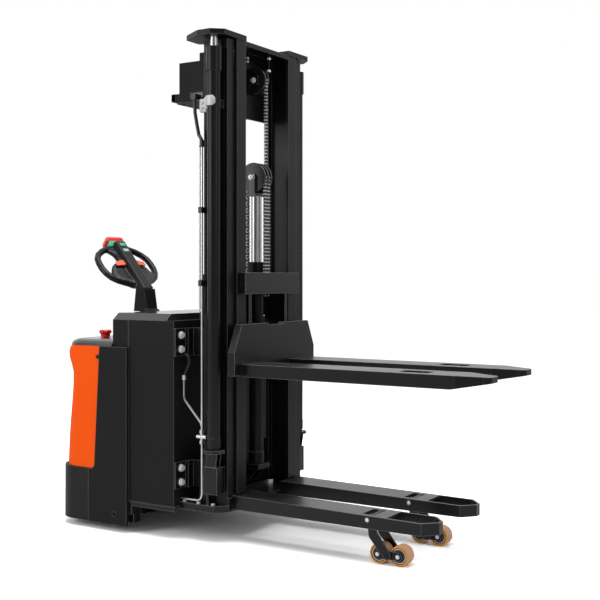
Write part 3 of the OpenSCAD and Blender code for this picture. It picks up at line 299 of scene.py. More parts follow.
def height_on(tree, place):
    """The height of a point on the piece, in metres."""
    split = tree.nodes.new("ShaderNodeSeparateXYZ")
    tree.links.new(place, split.inputs[0])
    return split.outputs["Z"]


def painted_pin_highlights(tree, place, base, pin_z, pitch):
    """The colour of a chain with a painted highlight at each pin, one of which is at pin_z."""
    above = math_node(tree, "SUBTRACT", height_on(tree, place), pin_z)
    away = math_node(tree, "PINGPONG", math_node(tree, "DIVIDE", above, pitch), 0.5)
    near = math_node(tree, "LESS_THAN", away, PIN_HIGHLIGHT_SHARE)
    return mix_colour(tree, near, base, PIN_HIGHLIGHT_COLOUR)


def band_mask(tree, place, bands):
    """1 between the two heights of each band, and 0 elsewhere."""
    height = height_on(tree, place)
    mask = None
    for low, high in bands:
        band = math_node(tree, "COMPARE", height, (low + high) / 2)
        band.node.inputs[2].default_value = (high - low) / 2
        mask = band if mask is None else math_node(tree, "MAXIMUM", mask, band)
    return mask


# The colour and the amount of the lighter edges stand for worn paint and a painted highlight.
def make_finish(name, colour, rough, metallic=0.0, specular=0.5, fine=FINE_SCALE, grain=0.1,
                cloud=0.2, worn_and_highlit_edge=(0.12, 0.12, 0.12), edge_wear_and_highlight=0.5, dust=0.12, coat=0.0, spread=0.1,
                stretch=(1, 1, 1), painted=(), edges=True, pin_highlights=None):
    """A painted, moulded or metal surface with grain, clouds, dust, and lighter edges,
    which are worn paint and also a painted highlight.

    With painted, pairs of heights, a bare metal piece is black between them. With a height
    and a pitch for the pins, a chain has a painted highlight on each bare pin end. A piece
    whose edges are round in its mesh needs no softer ones, so it has edges=False.
    """
    finish = bpy.data.materials.new(name)
    finish.use_nodes = True
    tree = finish.node_tree
    surface = tree.nodes["Principled BSDF"]
    place = tree.nodes.new("ShaderNodeTexCoord").outputs["Object"]
    mapping = tree.nodes.new("ShaderNodeMapping")
    mapping.inputs["Scale"].default_value = stretch
    tree.links.new(place, mapping.inputs["Vector"])
    skin = use_group(tree, SKIN, mapping.outputs[0], Fine=fine)
    settled = use_group(tree, DUST, place, Amount=dust).outputs["Mask"]
    base = mix_colour(tree, skin.outputs["Cloud"],
                      shade(colour, 1 - cloud), shade(colour, 1 + cloud))
    bump = tree.nodes.new("ShaderNodeBump")
    if edges:
        edge = use_group(tree, EDGE, place)
        # edges painted lighter: worn paint, and a painted highlight
        worn_and_highlit = math_node(tree, "MULTIPLY", edge.outputs["Mask"], edge_wear_and_highlight, clamp=True)
        base = mix_colour(tree, worn_and_highlit, base, worn_and_highlit_edge)
        tree.links.new(edge.outputs["Normal"], bump.inputs["Normal"])
    base = mix_colour(tree, settled, base, DUST_COLOUR)
    # a painted highlight on each bare pin end of a chain
    if pin_highlights:
        base = painted_pin_highlights(tree, place, base, *pin_highlights)
    if painted:
        mask = band_mask(tree, place, painted)
        base = mix_colour(tree, mask, base, BAND_COLOUR)
        bare_metal = math_node(tree, "SUBTRACT", 1.0, mask, clamp=True)
        tree.links.new(bare_metal, surface.inputs["Metallic"])
    tree.links.new(base, surface.inputs["Base Color"])
    sheen = math_node(tree, "MULTIPLY", skin.outputs["Cloud"], 2 * spread)
    dulled = math_node(tree, "ADD", sheen, rough - spread)
    dusted = math_node(tree, "MAXIMUM", dulled, settled, clamp=True)
    tree.links.new(dusted, surface.inputs["Roughness"])
    bump.inputs["Strength"].default_value = grain
    bump.inputs["Distance"].default_value = GRAIN_DEPTH
    tree.links.new(skin.outputs["Height"], bump.inputs["Height"])
    tree.links.new(bump.outputs[0], surface.inputs["Normal"])
    surface.inputs["Metallic"].default_value = metallic
    surface.inputs["Specular IOR Level"].default_value = specular
    surface.inputs["Coat Weight"].default_value = coat
    surface.inputs["Coat Roughness"].default_value = COAT_ROUGH
    return finish


print("recipe", make_finish.__name__)

# %% [markdown]
# The truck's finishes. Chassis, mast and forks have a satin black powder paint, the box a
# rougher dark grey one, and the hood is moulded plastic with orange trims. Each recipe
# says only what differs from the usual values. Most are named after their slot in the
# record, the others after what they are for.

# %% The finishes
CLAMP_Z, CLAMP_HEIGHT = (1147, 1475), 26      # painted clamps on the oil pipe
HOSE_BAND = (1.770, 2.015)                    # and its rubber hose, in metres
ROD_FORK_BAND = (1.566, 1.72)                 # painted fork on the chrome rod


def grey(level, blue=None):
    """A neutral colour, or one with a little more or less blue."""
    return (level, level, level if blue is None else blue)


CHAIN = dict(colour=grey(0.02), rough=0.3, metallic=0.3, fine=300, grain=0.2, cloud=0.5,
             worn_and_highlit_edge=grey(0.30), edge_wear_and_highlight=0.8, dust=0.0)
CHROME = dict(colour=grey(0.62, 0.63), metallic=1.0, fine=200, grain=0.02, cloud=0.06,
              worn_and_highlit_edge=grey(0.8), dust=0.0, spread=0.05)
BUTTON = dict(fine=900, cloud=0.05, edges=False)
RECIPES = {
    "black_paint": dict(colour=grey(0.0050, 0.0053), rough=0.30, specular=0.32, fine=420,
                        edge_wear_and_highlight=0.9, worn_and_highlit_edge=grey(0.42), spread=0.07),
    "mast_paint": dict(colour=grey(0.0048, 0.0051), rough=0.36, specular=0.2, fine=500,
                       edge_wear_and_highlight=0.8, worn_and_highlit_edge=grey(0.26)),
    "arm_paint": dict(colour=grey(0.0040, 0.0042), rough=0.5, specular=0.15, fine=600,
                      edge_wear_and_highlight=0.8, worn_and_highlit_edge=grey(0.22), dust=0.03),
    "cylinder_paint": dict(colour=grey(0.0060, 0.0063), rough=0.30, specular=0.3, fine=500,
                           grain=0.05, edge_wear_and_highlight=0.45, worn_and_highlit_edge=grey(0.09), dust=0.03),
    "box_paint": dict(colour=grey(0.0085, 0.0087), rough=0.5, specular=0.15, fine=900,
                      grain=0.35, edge_wear_and_highlight=0.9, worn_and_highlit_edge=grey(0.30), dust=0.05),
    "lid_paint": dict(colour=grey(0.030, 0.031), rough=0.15, specular=0.55, fine=900,
                      grain=0.25, cloud=0.12, worn_and_highlit_edge=grey(0.3), edge_wear_and_highlight=0.6, dust=0.05),
    "hood_plastic": dict(colour=grey(0.0100, 0.0103), rough=0.46, specular=0.2, fine=1100,
                         grain=0.3, edge_wear_and_highlight=0.8, worn_and_highlit_edge=grey(0.24), dust=0.05),
    "top_plastic": dict(colour=grey(0.013, 0.0133), rough=0.24, specular=0.55, fine=1100,
                        grain=0.12, cloud=0.1, edge_wear_and_highlight=0.6, worn_and_highlit_edge=grey(0.2), dust=0.04, coat=0.4),
    "orange_trim": dict(colour=(1.0, 0.100, 0.0015), rough=0.5, specular=0.10, fine=900,
                        grain=0.12, cloud=0.02, worn_and_highlit_edge=(1.0, 0.24, 0.06), edge_wear_and_highlight=0.3, dust=0.0),
    "tiller_plastic": dict(colour=grey(0.0040, 0.0042), rough=0.34, specular=0.12, fine=1300,
                           grain=0.05, edge_wear_and_highlight=0.4, worn_and_highlit_edge=grey(0.10), dust=0.03),
    "green_plastic": dict(BUTTON, colour=(0.05, 0.46, 0.23), rough=0.35, grain=0.04,
                          dust=0.03),
    "throttle_plastic": dict(BUTTON, colour=(0.90, 0.13, 0.04), rough=0.38, grain=0.04,
                             dust=0.03),
    "red_plastic": dict(BUTTON, colour=(0.80, 0.014, 0.008), rough=0.28, grain=0.03, dust=0.0,
                        coat=0.3),
    "steel": dict(colour=grey(0.86, 0.87), rough=0.3, metallic=0.25, fine=260, grain=0.08,
                  cloud=0.12, worn_and_highlit_edge=grey(0.85), dust=0.06),
    "rod_chrome": dict(CHROME, rough=0.16, stretch=(1, 1, 0.02)),
    "rod_and_fork": dict(CHROME, rough=0.30, painted=(ROD_FORK_BAND,)),
    "pipe_and_clamps": dict(colour=grey(0.74, 0.75), rough=0.38, metallic=1.0, fine=260,
                            grain=0.03, cloud=0.05, dust=0.0, edges=False,
                            painted=[((z - 0.5) / 1000, (z + CLAMP_HEIGHT + 0.5) / 1000)
                                     for z in CLAMP_Z] + [HOSE_BAND]),
    "chain_steel": dict(CHAIN, pin_highlights=(CHAIN_WHEEL_Z / 1000, CHAIN_PITCH / 1000)),
    "upper_chain_steel": dict(CHAIN, pin_highlights=(PULLEY_Z / 1000, CHAIN_PITCH / 1000)),
    "roller_steel": dict(colour=grey(0.03, 0.031), rough=0.35, metallic=0.6, fine=300,
                         worn_and_highlit_edge=grey(0.5), edge_wear_and_highlight=0.8),
    "wheel_poly": dict(colour=(0.34, 0.135, 0.035), rough=0.34, fine=160, cloud=0.16,
                       worn_and_highlit_edge=(0.6, 0.35, 0.16), edge_wear_and_highlight=0.4, coat=0.2),
    "drive_rubber": dict(colour=grey(0.02), rough=0.7, specular=0.3, fine=300, grain=0.4,
                         worn_and_highlit_edge=grey(0.08), dust=0.3),
    "battery_case": dict(colour=(0.05, 0.055, 0.06), rough=0.5, fine=800, grain=0.2),
    "unit_grey": dict(colour=grey(0.13, 0.135), rough=0.45, metallic=0.6, fine=200, grain=0.2,
                      worn_and_highlit_edge=grey(0.4)),
}
FINISH = {name: make_finish(name, **recipe) for name, recipe in RECIPES.items()}
print("finishes", len(FINISH))

# %% [markdown]
# Every solid names its finish in the record, so one loop dresses them all. A few pieces
# differ a little from the others of their slot, and have a finish of their own.

# %% Dress the solids
OWN_FINISH = {
    "lift_rod": "rod_and_fork", "oil_pipes": "pipe_and_clamps",
    "upper_chain": "upper_chain_steel", "box_lid": "lid_paint", "hood_top": "top_plastic",
    "tiller_arm": "arm_paint", "tiller_base": "arm_paint", "outer_crossmembers": "arm_paint",
    "right_lift_cylinder": "cylinder_paint", "left_lift_cylinder": "cylinder_paint",
}


def dress(node, finish):
    """Puts a finish in every material slot of a solid."""
    obj = frame["nodes"][node]
    if not obj.material_slots:
        obj.data.materials.append(finish)
    for slot in obj.material_slots:
        slot.material = finish


for part in frame["record"]["subparts"]:
    dress(part["node"], FINISH[OWN_FINISH.get(part["node"], part["material_slot"])])

# %% [markdown]
# The small fittings come next. Most of them are turned parts: a flat ring or disc is
# extruded along its axis and scaled at each step, just as a lathe tool would step in
# and out. A part with a bore starts from an open ring and comes back to it.

# %% Helpers for turned pieces
SAME_POINT = 0.00002     # metres, below which two vertices are one


def start_clean(piece=None):
    """No edit mode and nothing selected but the piece, which is then the active one."""
    if bpy.context.object and bpy.context.object.mode != "OBJECT":
        bpy.ops.object.mode_set(mode="OBJECT")
    bpy.ops.object.select_all(action="DESELECT")
    if piece:
        piece.select_set(True)
        bpy.context.view_layer.objects.active = piece


def edit_all(piece):
    """Edit mode with the whole mesh selected."""
    start_clean(piece)
    bpy.ops.object.mode_set(mode="EDIT")
    bpy.ops.mesh.select_all(action="SELECT")


def step_along(rings):
    """Extrudes what is selected from ring to ring, each a radius and a height."""
    for (r0, z0), (r1, z1) in zip(rings, rings[1:]):
        bpy.ops.mesh.extrude_region_move(TRANSFORM_OT_translate={"value": (0, 0, z1 - z0)})
        if r1 != r0:
            bpy.ops.transform.resize(value=(r1 / r0, r1 / r0, 1), center_override=(0, 0, z1))


def turned(name, rings, sides=32, bored=False):
    """A turned piece round its own Z axis, sizes in metres."""
    start_clean()
    fill = "NOTHING" if bored else "NGON"
    bpy.ops.mesh.primitive_circle_add(vertices=sides, radius=rings[0][0], fill_type=fill,
                                      location=(0, 0, rings[0][1]))
    bpy.ops.object.transform_apply()
    piece = bpy.context.object
    piece.name = name
    edit_all(piece)
    step_along(rings + rings[:1] if bored else rings)
    bpy.ops.mesh.select_all(action="SELECT")
    bpy.ops.mesh.remove_doubles(threshold=SAME_POINT)
    bpy.ops.mesh.normals_make_consistent(inside=False)
    bpy.ops.object.mode_set(mode="OBJECT")
    return piece


def put(piece, place, direction=(0, 0, 1), turn=0.0):
    """Lays a piece's own Z along a direction, moves it and applies both to its mesh."""
    aim = Vector(direction).to_track_quat("Z", "Y").to_matrix().to_4x4()
    move = Matrix.Translation(Vector(place)) @ aim @ Matrix.Rotation(turn, 4, "Z")
    piece.data.transform(move)
    return piece


def joined(name, pieces):
    """Several pieces as one object."""
    start_clean(pieces[0])
    for piece in pieces:
        piece.select_set(True)
    if len(pieces) > 1:
        bpy.ops.object.join()
    pieces[0].name = name
    return pieces[0]


def complete(piece, body, finish=None, angle=35):
    """Smooth shading, a finish, and the body that the piece belongs to."""
    start_clean(piece)
    bpy.ops.object.shade_smooth_by_angle(angle=math.radians(angle))
    if finish is not None:
        piece.data.materials.clear()
        piece.data.materials.append(finish)
    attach(piece, body)
    start_clean()
    return piece


print("helpers for pieces", turned.__name__, put.__name__, joined.__name__)

# %% [markdown]
# A load wheel is a dark steel hub with a bright bearing ring, in a polyurethane tyre.
# The tyre's tread is scuffed pale by the floor while its sides stay amber, so the wheel
# has four finishes, given to its faces by how far they are from the axle.

# %% Load wheels
TREAD = make_finish("worn_tread", (0.74, 0.42, 0.23), 0.42, specular=0.4, fine=220, grain=0.2,
                    cloud=0.14, worn_and_highlit_edge=(0.7, 0.45, 0.28))
AMBER = make_finish("amber_side", (0.86, 0.33, 0.010), 0.3, specular=0.4, fine=200,
                    grain=0.08, cloud=0.1, worn_and_highlit_edge=(0.90, 0.50, 0.12), edge_wear_and_highlight=0.3, dust=0.0, coat=0.2)
HUB = make_finish("dark_hub", grey(0.022, 0.023), 0.35, fine=260, grain=0.15, worn_and_highlit_edge=grey(0.2),
                  edge_wear_and_highlight=0.6, dust=0.1)
BRIGHT = FINISH["steel"]
WHEEL_HALF = 0.0300                # half of the wheel's width
HUB_EDGE = 0.0335                  # radius where the hub meets the tyre
TREAD_EDGE = 0.0414                # and where the side goes over into the tread
BRIGHT_RING = (0.0270, 0.0302)     # radii of the bearing's ring
LOOKS_OUT = 0.7                    # a face is flat if its normal has this much along Z


def wheel_side(sign):
    """Rings of one side of the wheel, from the bore out to the tread."""
    steps = [(0.0090, 0.0270), (0.0185, 0.0270), (0.0200, 0.0255), (0.0265, 0.0255),
             (0.0272, 0.0284), (0.0300, 0.0284), (0.0306, 0.0268), (0.0330, 0.0268),
             (0.0338, 0.0296), (0.0348, WHEEL_HALF), (0.0390, WHEEL_HALF), (0.0408, 0.0291),
             (0.0418, 0.0275), (0.0420, 0.0250)]
    return [(radius, sign * height) for radius, height in steps]


def finish_index(face):
    """Which of the wheel's finishes, tread, amber, hub or bright, a face has."""
    radius = face.center.xy.length
    if radius > TREAD_EDGE:
        return 0
    if radius > HUB_EDGE:
        return 1
    if abs(face.normal.z) > LOOKS_OUT and BRIGHT_RING[0] < radius < BRIGHT_RING[1]:
        return 3
    return 2


def load_wheel(node):
    """A load wheel, which stands for the solid of the same name."""
    low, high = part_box(node)
    wheel = turned(node + "_dressed", wheel_side(-1) + wheel_side(1)[::-1], 72, bored=True)
    for finish in (TREAD, AMBER, HUB, BRIGHT):
        wheel.data.materials.append(finish)
    for face in wheel.data.polygons:
        face.material_index = finish_index(face)
    put(wheel, (low + high) / 2, (0, 1, 0))
    complete(wheel, node)
    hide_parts(node)
    return wheel


wheels = [load_wheel(f"{side}_{end}_wheel") for side in ("right", "left")
          for end in ("front", "rear")]
print("load wheels", len(wheels))

# %% [markdown]
# The wheels' axles end in bright domed heads, and so do the pivots of the load arms in
# the legs. One head is turned and copied to each place.

# %% Domed heads
FORK_Y = 195.0                                # middle of each fork, leg and bogie
AXLE_X, AXLE_Z, AXLE_END = (652.5, 745.5), 42, 42.45
PIVOT_X, PIVOT_Z, PIVOT_END = 624, 186, 78.35
AXLE_HEAD = [(0.0086, 0), (0.0086, 0.0009), (0.0078, 0.0017), (0.0055, 0.0026),
             (0.0020, 0.0030)]
PIVOT_HEAD = [(0.0085, 0), (0.0085, 0.0004), (0.0074, 0.0008), (0.0050, 0.0012),
              (0.0020, 0.0013)]
LOOKS = (-1, 1)                               # to the right, and to the left


def heads(name, rings, places, body):
    """Copies of one domed head, each at a place and looking to the right or the left."""
    made = [put(turned(name, rings, 28), at(*place), (0, look, 0)) for place, look in places]
    print(name, len(made))
    return complete(joined(name, made), body, BRIGHT, 50)


for side, sign in (("right", -1), ("left", 1)):
    heads(side + "_axle_heads", AXLE_HEAD,
          [((x, sign * FORK_Y + look * AXLE_END, AXLE_Z), look) for x in AXLE_X
           for look in LOOKS], side + "_bogie")
heads("pivot_heads", PIVOT_HEAD,
      [((PIVOT_X, sign * FORK_Y + look * PIVOT_END, PIVOT_Z), look) for sign in LOOKS
       for look in LOOKS], "load_arms")

# %% [markdown]
# The chain wheel and the top pulley turn on bolts, whose bright nuts stand out against
# the black mast. A nut is a thin round washer with a six-sided block on it, and its
# corners are taken off, as on a real one. All its sizes go with its width.

# %% Nuts on the two axles
NUT_TURN = 0.3           # radians, as nobody lines nuts up


def nut(name, place, across, body):
    """A washer and a nut that look to the right, with the nut's width over its corners."""
    washer = turned(name + "_washer", [(across * 0.62, 0), (across * 0.62, across * 0.07),
                                       (across * 0.58, across * 0.10)], 36)
    hexagon = turned(name, [(across / 2, across * 0.10), (across / 2, across * 0.44),
                            (across * 0.43, across * 0.50), (across * 0.22, across * 0.50),
                            (across * 0.20, across * 0.58)], 6)
    for piece in (washer, hexagon):
        put(piece, place, (0, -1, 0), turn=NUT_TURN)
    return complete(joined(name, [hexagon, washer]), body, BRIGHT, 30)


nut("chain_wheel_nut", at(CHAIN_WHEEL_X, -40, CHAIN_WHEEL_Z), 0.0270, "lift_rod")
nut("top_pulley_nut", at(PULLEY_X, 14, PULLEY_Z), 0.0240, "inner_mast")
print("nuts", 2)

# %% [markdown]
# Over the top pulley two threaded rods hang from the mast's head. They are painted with
# the mast, while the nuts that were set on them later are bright.

# %% Anchor rods
ROD_RADIUS, ROD_NUT_RADIUS, ROD_NUT_HEIGHT = 0.0040, 0.0095, 0.010


def anchor_rod(name, top, length, depths):
    """A painted rod that hangs down from a point, with a nut at each of the depths."""
    rod = turned(name, [(ROD_RADIUS, 0), (ROD_RADIUS, length)], 16)
    nuts = [turned(f"{name}_nut_{n}", [(ROD_NUT_RADIUS, depth),
                                       (ROD_NUT_RADIUS, depth + ROD_NUT_HEIGHT)], 6)
            for n, depth in enumerate(depths)]
    for piece in [rod] + nuts:
        put(piece, top, (0, 0, -1), turn=NUT_TURN)
    complete(rod, "inner_mast", FINISH["mast_paint"], 30)
    complete(joined(name + "_nuts", nuts), "inner_mast", BRIGHT, 30)


anchor_rod("rear_anchor_rod", at(-162, -6, 2272), 0.075, (0.044, 0.060))
anchor_rod("front_anchor_rod", at(-69, 40, 2259), 0.110, (0.036, 0.094))
print("anchor rods", 2)

# %% [markdown]
# A real chain runs over its wheel. Here each strand is a straight stretch that ends at the
# wheel, and a copy of its mesh is shown instead of the solid. The wheel moves half as far
# as the carriage, which is why the front strand's far end is given as twice the wheel's
# height less its anchor's. The heights of the two ends are only printed.

# %% Copies of the chains
REAR_END_Z, FRONT_END_Z = 952, 1140           # anchors on the cylinder and the carriage
LUG_Z = CHAIN_WHEEL_Z + 26                    # lug on the rod, where the upper chain ends


def strand(node, held_z, moved_z):
    """A copy of a strand's mesh, shown in place of the hidden solid; its two heights are
    printed.
    """
    piece = bpy.data.objects.new(node + "_strand", frame["nodes"][node].data.copy())
    bpy.context.scene.collection.objects.link(piece)
    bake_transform(piece)
    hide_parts(node)
    print(piece.name, "from", held_z, "to", moved_z)


strand("rear_chain", REAR_END_Z, CHAIN_WHEEL_Z)
strand("upper_chain", PULLEY_Z, LUG_Z)
strand("front_chain", FRONT_END_Z, 2 * CHAIN_WHEEL_Z - FRONT_END_Z)

# %% [markdown]
# Castings and bent sheets are blocks between two corners with their edges rounded, as
# neither has sharp ones. Where a piece isn't square, it is cut at a slant.

# %% Helpers for blocks
def round_edges(piece, radius, segments=3):
    """Rounds a piece's hard edges."""
    start_clean(piece)
    bevel = piece.modifiers.new("edges", "BEVEL")
    bevel.width = radius
    bevel.segments = segments
    bpy.ops.object.modifier_apply(modifier="edges")
    return piece


def soft_block(name, low, high, round_off):
    """A block between two points in the part's millimetres, its edges rounded."""
    start_clean()
    low, high = at(*low), at(*high)
    bpy.ops.mesh.primitive_cube_add(size=1, location=(low + high) / 2, scale=high - low)
    bpy.ops.object.transform_apply()
    piece = bpy.context.object
    piece.name = name
    return round_edges(piece, round_off)


def cut_off(piece, place, normal):
    """Removes what lies on the side that the normal points to, and closes the cut."""
    edit_all(piece)
    bpy.ops.mesh.bisect(plane_co=place, plane_no=normal, use_fill=True, clear_outer=True)
    bpy.ops.object.mode_set(mode="OBJECT")


print("helpers for blocks", soft_block.__name__, cut_off.__name__)

# %% [markdown]
# On the mast's right side a cast clamp holds the lift cylinder to the rail beside the
# shelf. It is a ring cut to the part that hugs the tube, with a bolted foot.

# %% The cast clamp
CAST = make_finish("cast_zinc", grey(0.55, 0.56), 0.45, metallic=0.35, specular=0.6, fine=300,
                   grain=0.3, cloud=0.1, worn_and_highlit_edge=grey(0.85), edge_wear_and_highlight=0.6, dust=0.05)
TUBE_X, TUBE_Y = -105, -345                   # middle of the right lift cylinder
HUG_RINGS = [(0.0304, 1.944), (0.0385, 1.944), (0.0385, 1.988), (0.0304, 1.988)]
HUG_CUTS = [((-82, 0, 0), (1, 0, 0)), ((0, -342, 0), (0, 1, 0)),
            ((-84, 0, 1980), (1, 0, 0.8)), ((-84, 0, 1952), (1, 0, -0.8))]  # place, normal
FOOT_X, FOOT_FRONT = -182, -331               # middle of the foot, and the face we see
SCREW_Z = (1943, 1968)
SCREW = [(0.0080, 0), (0.0080, 0.004), (0.0066, 0.0052), (0.0040, 0.0052), (0.0036, 0.0030)]


def cast_clamp():
    """The ring round the cylinder, its neck, and the foot with two screws."""
    hug = put(turned("cast_clamp", HUG_RINGS, 64, bored=True), at(TUBE_X, TUBE_Y, 0))
    for place, normal in HUG_CUTS:
        cut_off(hug, at(*place), normal)
    round_edges(hug, 0.002)
    neck = soft_block("clamp_neck", (-164, -344, 1938), (-136.5, -307, 1989), 0.004)
    foot = soft_block("clamp_foot", (-198, FOOT_FRONT, 1926), (-158, -307, 1986), 0.004)
    screws = [put(turned("clamp_screw", SCREW, 24), at(FOOT_X, FOOT_FRONT, z), (0, -1, 0))
              for z in SCREW_Z]
    return complete(joined("cast_clamp", [hug, neck, foot] + screws), "chassis", CAST)


print("clamp", cast_clamp().name)

# %% [markdown]
# The shelf at the top of the outer mast ends to the rear in a thicker lip, which turns
# forwards at both ends. On the right a thin plate, smoother than the mast, is screwed on
# for the hose. Both are blocks set against the solid shelf.

# %% The shelf's lip and side plate
LIP_REAR, LIP_HALF = -394, 286                # rear face, and half of the length
LIP_Z = (1995, 2031)
LIP_END = 24                                  # width of the ends that turn forwards

lip = [soft_block("shelf_lip", (LIP_REAR, -LIP_HALF, LIP_Z[0]), (-370, LIP_HALF, LIP_Z[1]),
                  0.002)]
for y in (-LIP_HALF, LIP_HALF - LIP_END):
    lip.append(soft_block("shelf_lip_end", (LIP_REAR + 2, y, LIP_Z[0] + 1),
                          (-322, y + LIP_END, LIP_Z[1] - 1), 0.002))
complete(joined("shelf_lip", lip), "chassis", FINISH["arm_paint"], 30)
plate = soft_block("shelf_side_plate", (-267, -310, 1997), (-192, -305.5, 2024), 0.001)
complete(plate, "chassis", FINISH["lid_paint"], 30)
print("lip of", len(lip), "pieces and", plate.name)

# %% [markdown]
# A small hole in each of the hood's trims is closed with a snap-in plug, a shallow dome
# with a rim.

# %% Snap-in plugs
PLUG = [(0.0100, 0), (0.0100, 0.0012), (0.0088, 0.0022), (0.0070, 0.0018), (0.0052, 0.0024),
        (0.0015, 0.0030)]
PLUG_X, PLUG_Y, PLUG_Z = -745, 401, 812
plugs = [put(turned("plug", PLUG, 32), at(PLUG_X, look * PLUG_Y, PLUG_Z), (0, look, 0))
         for look in LOOKS]
complete(joined("trim_plugs", plugs), "chassis", FINISH["hood_plastic"], 50)
print("plugs", len(plugs))

# %% [markdown]
# Where the branch of the oil pipe bends to the box it runs in a rubber sleeve, which
# ends in a bright fitting. Beside the oil pipe a thinner one comes down the mast and then
# turns in to the rail. Both are round bodies along a line of corners: a curve with a
# round section does that, and is then made a mesh.

# %% The branch's sleeve and the second pipe
RUBBER = make_finish("sleeve_rubber", grey(0.012), 0.45, specular=0.4, fine=500, dust=0.03,
                     edges=False)
SLEEVE_RADIUS, RETURN_RADIUS = 0.0068, 0.0048
BRANCH_X, BRANCH_Z = -286, 742                # where the branch enters its sleeve
SLEEVE_BEND = [(BRANCH_X, BRANCH_Z), (-282, 748), (-258, 790), (-254, 802), (-256, 816),
               (-262, 828), (-272, 836), (-288, 836)]
FITTING = [(0.0070, 0), (0.0098, 0), (0.0098, 0.009), (0.0080, 0.010), (0.0080, 0.013),
           (0.0092, 0.014), (0.0092, 0.020), (0.0070, 0.020)]
RETURN_X = -193.8
RETURN_LINE = [(RETURN_X, PIPE_Y, 1776), (RETURN_X, PIPE_Y, 1046), (-193.2, -328, 1038),
               (-192.5, -322, 1031), (-192, -312, 1028)]


def tube(name, corners, radius):
    """A round body along a line through corners in the part's millimetres."""
    start_clean()
    bpy.ops.curve.primitive_bezier_curve_add()
    piece = bpy.context.object
    piece.name = name
    piece.data.splines.clear()
    line = piece.data.splines.new("POLY")
    line.points.add(len(corners) - 1)
    for point, corner in zip(line.points, corners):
        point.co = (*at(*corner), 1)
    piece.data.bevel_depth = radius
    piece.data.bevel_resolution = 4
    piece.data.use_fill_caps = True
    bpy.ops.object.convert(target="MESH")
    return bpy.context.object


sleeve = tube("branch_sleeve", [(x, PIPE_Y, z) for x, z in SLEEVE_BEND], SLEEVE_RADIUS)
complete(sleeve, "chassis", RUBBER, 60)
fitting = turned("branch_fitting", FITTING, 6, bored=True)
put(fitting, at(BRANCH_X, PIPE_Y, BRANCH_Z - 20))
complete(fitting, "chassis", BRIGHT, 30)
complete(tube("return_pipe", RETURN_LINE, RETURN_RADIUS), "chassis",
         FINISH["pipe_and_clamps"], 60)
print("sleeve, fitting and second pipe")

# %% [markdown]
# The tiller head is one moulding, in which the handles flow into the body. The solid has
# the right form with hard seams, so a copy of it is remeshed fine and relaxed a little,
# which is what the radii of a mould do. The green housing, the throttle and the red
# button get the same treatment.

# %% Moulded pieces of the tiller
SOFT_BLACK = make_finish("soft_black", grey(0.0045, 0.0047), 0.30, specular=0.3, fine=1300,
                         grain=0.05, dust=0.02, edges=False)


def moulded(node, body, finish, voxel, rounds):
    """A remeshed and relaxed copy of a solid, which stands for it."""
    piece = bpy.data.objects.new(node + "_moulded", frame["nodes"][node].data.copy())
    bpy.context.scene.collection.objects.link(piece)
    edit_all(piece)
    bpy.ops.mesh.remove_doubles(threshold=SAME_POINT)
    bpy.ops.object.mode_set(mode="OBJECT")
    skin = piece.modifiers.new("skin", "REMESH")
    skin.mode = "VOXEL"
    skin.voxel_size = voxel
    soften = piece.modifiers.new("soften", "SMOOTH")
    soften.factor = 0.5
    soften.iterations = rounds
    bpy.ops.object.modifier_apply(modifier="skin")
    bpy.ops.object.modifier_apply(modifier="soften")
    complete(piece, body, finish, 60)
    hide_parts(node)
    print(piece.name, len(piece.data.polygons), "faces")


moulded("tiller_head", "tiller", SOFT_BLACK, 0.0025, 22)
moulded("head_trim", "tiller", FINISH["green_plastic"], 0.0010, 6)
moulded("belly_button", "belly_button", FINISH["red_plastic"], 0.0020, 60)
moulded("thumb_throttle", "throttle", FINISH["throttle_plastic"], 0.0010, 6)

# %% [markdown]
# A small pale window sits on the head's spine. It is placed in the head's own frame: X
# across, Y along the spine and Z out of the face that the driver looks at. That frame is
# reached as the joints reach it, by the steering's turn and then the tiller's lean.

# %% The window on the spine
COLUMN_X = -790                               # axis of the steering
STEERED, LEAN = -15, -47                      # degrees
HINGE = (-0.003, 0, 1.128)                    # of the tiller, from the axis, in metres
HEAD_FRAME = (Matrix.Translation(at(COLUMN_X, 0, 0))
              @ Matrix.Rotation(math.radians(STEERED), 4, "Z")
              @ Matrix.Translation(HINGE) @ Matrix.Rotation(math.radians(LEAN), 4, "Y")
              @ Matrix.Rotation(math.radians(90), 4, "Z")
              @ Matrix.Rotation(math.radians(90), 4, "X"))
WINDOW = make_finish("pale_window", (0.42, 0.55, 0.50), 0.12, specular=0.6, fine=300,
                     grain=0.0, cloud=0.1, worn_and_highlit_edge=(0.6, 0.7, 0.66), edge_wear_and_highlight=0.2, dust=0.0, coat=0.6)
WINDOW_PLACE, WINDOW_SIZE = (0.001, 0.264, 0.0265), (0.030, 0.020, 0.003)
RIM, SUNK = 0.002, 0.0008                     # width of the rim, and depth of the glass


def spine_window():
    """A thin block whose upper face is sunk inside a rim."""
    start_clean()
    bpy.ops.mesh.primitive_cube_add(size=1, location=WINDOW_PLACE, scale=WINDOW_SIZE)
    bpy.ops.object.transform_apply()
    piece = bpy.context.object
    piece.name = "spine_window"
    bpy.ops.object.mode_set(mode="EDIT")
    bpy.ops.mesh.select_all(action="DESELECT")
    mesh = bmesh.from_edit_mesh(piece.data)
    for face in mesh.faces:
        face.select_set(face.normal.z > LOOKS_OUT)
    bmesh.update_edit_mesh(piece.data)
    bpy.ops.mesh.inset(thickness=RIM)
    bpy.ops.transform.translate(value=(0, 0, -SUNK))
    bpy.ops.object.mode_set(mode="OBJECT")
    round_edges(piece, 0.0006, 2)
    piece.data.transform(HEAD_FRAME)
    return complete(piece, "tiller", WINDOW)


print("window", spine_window().name)

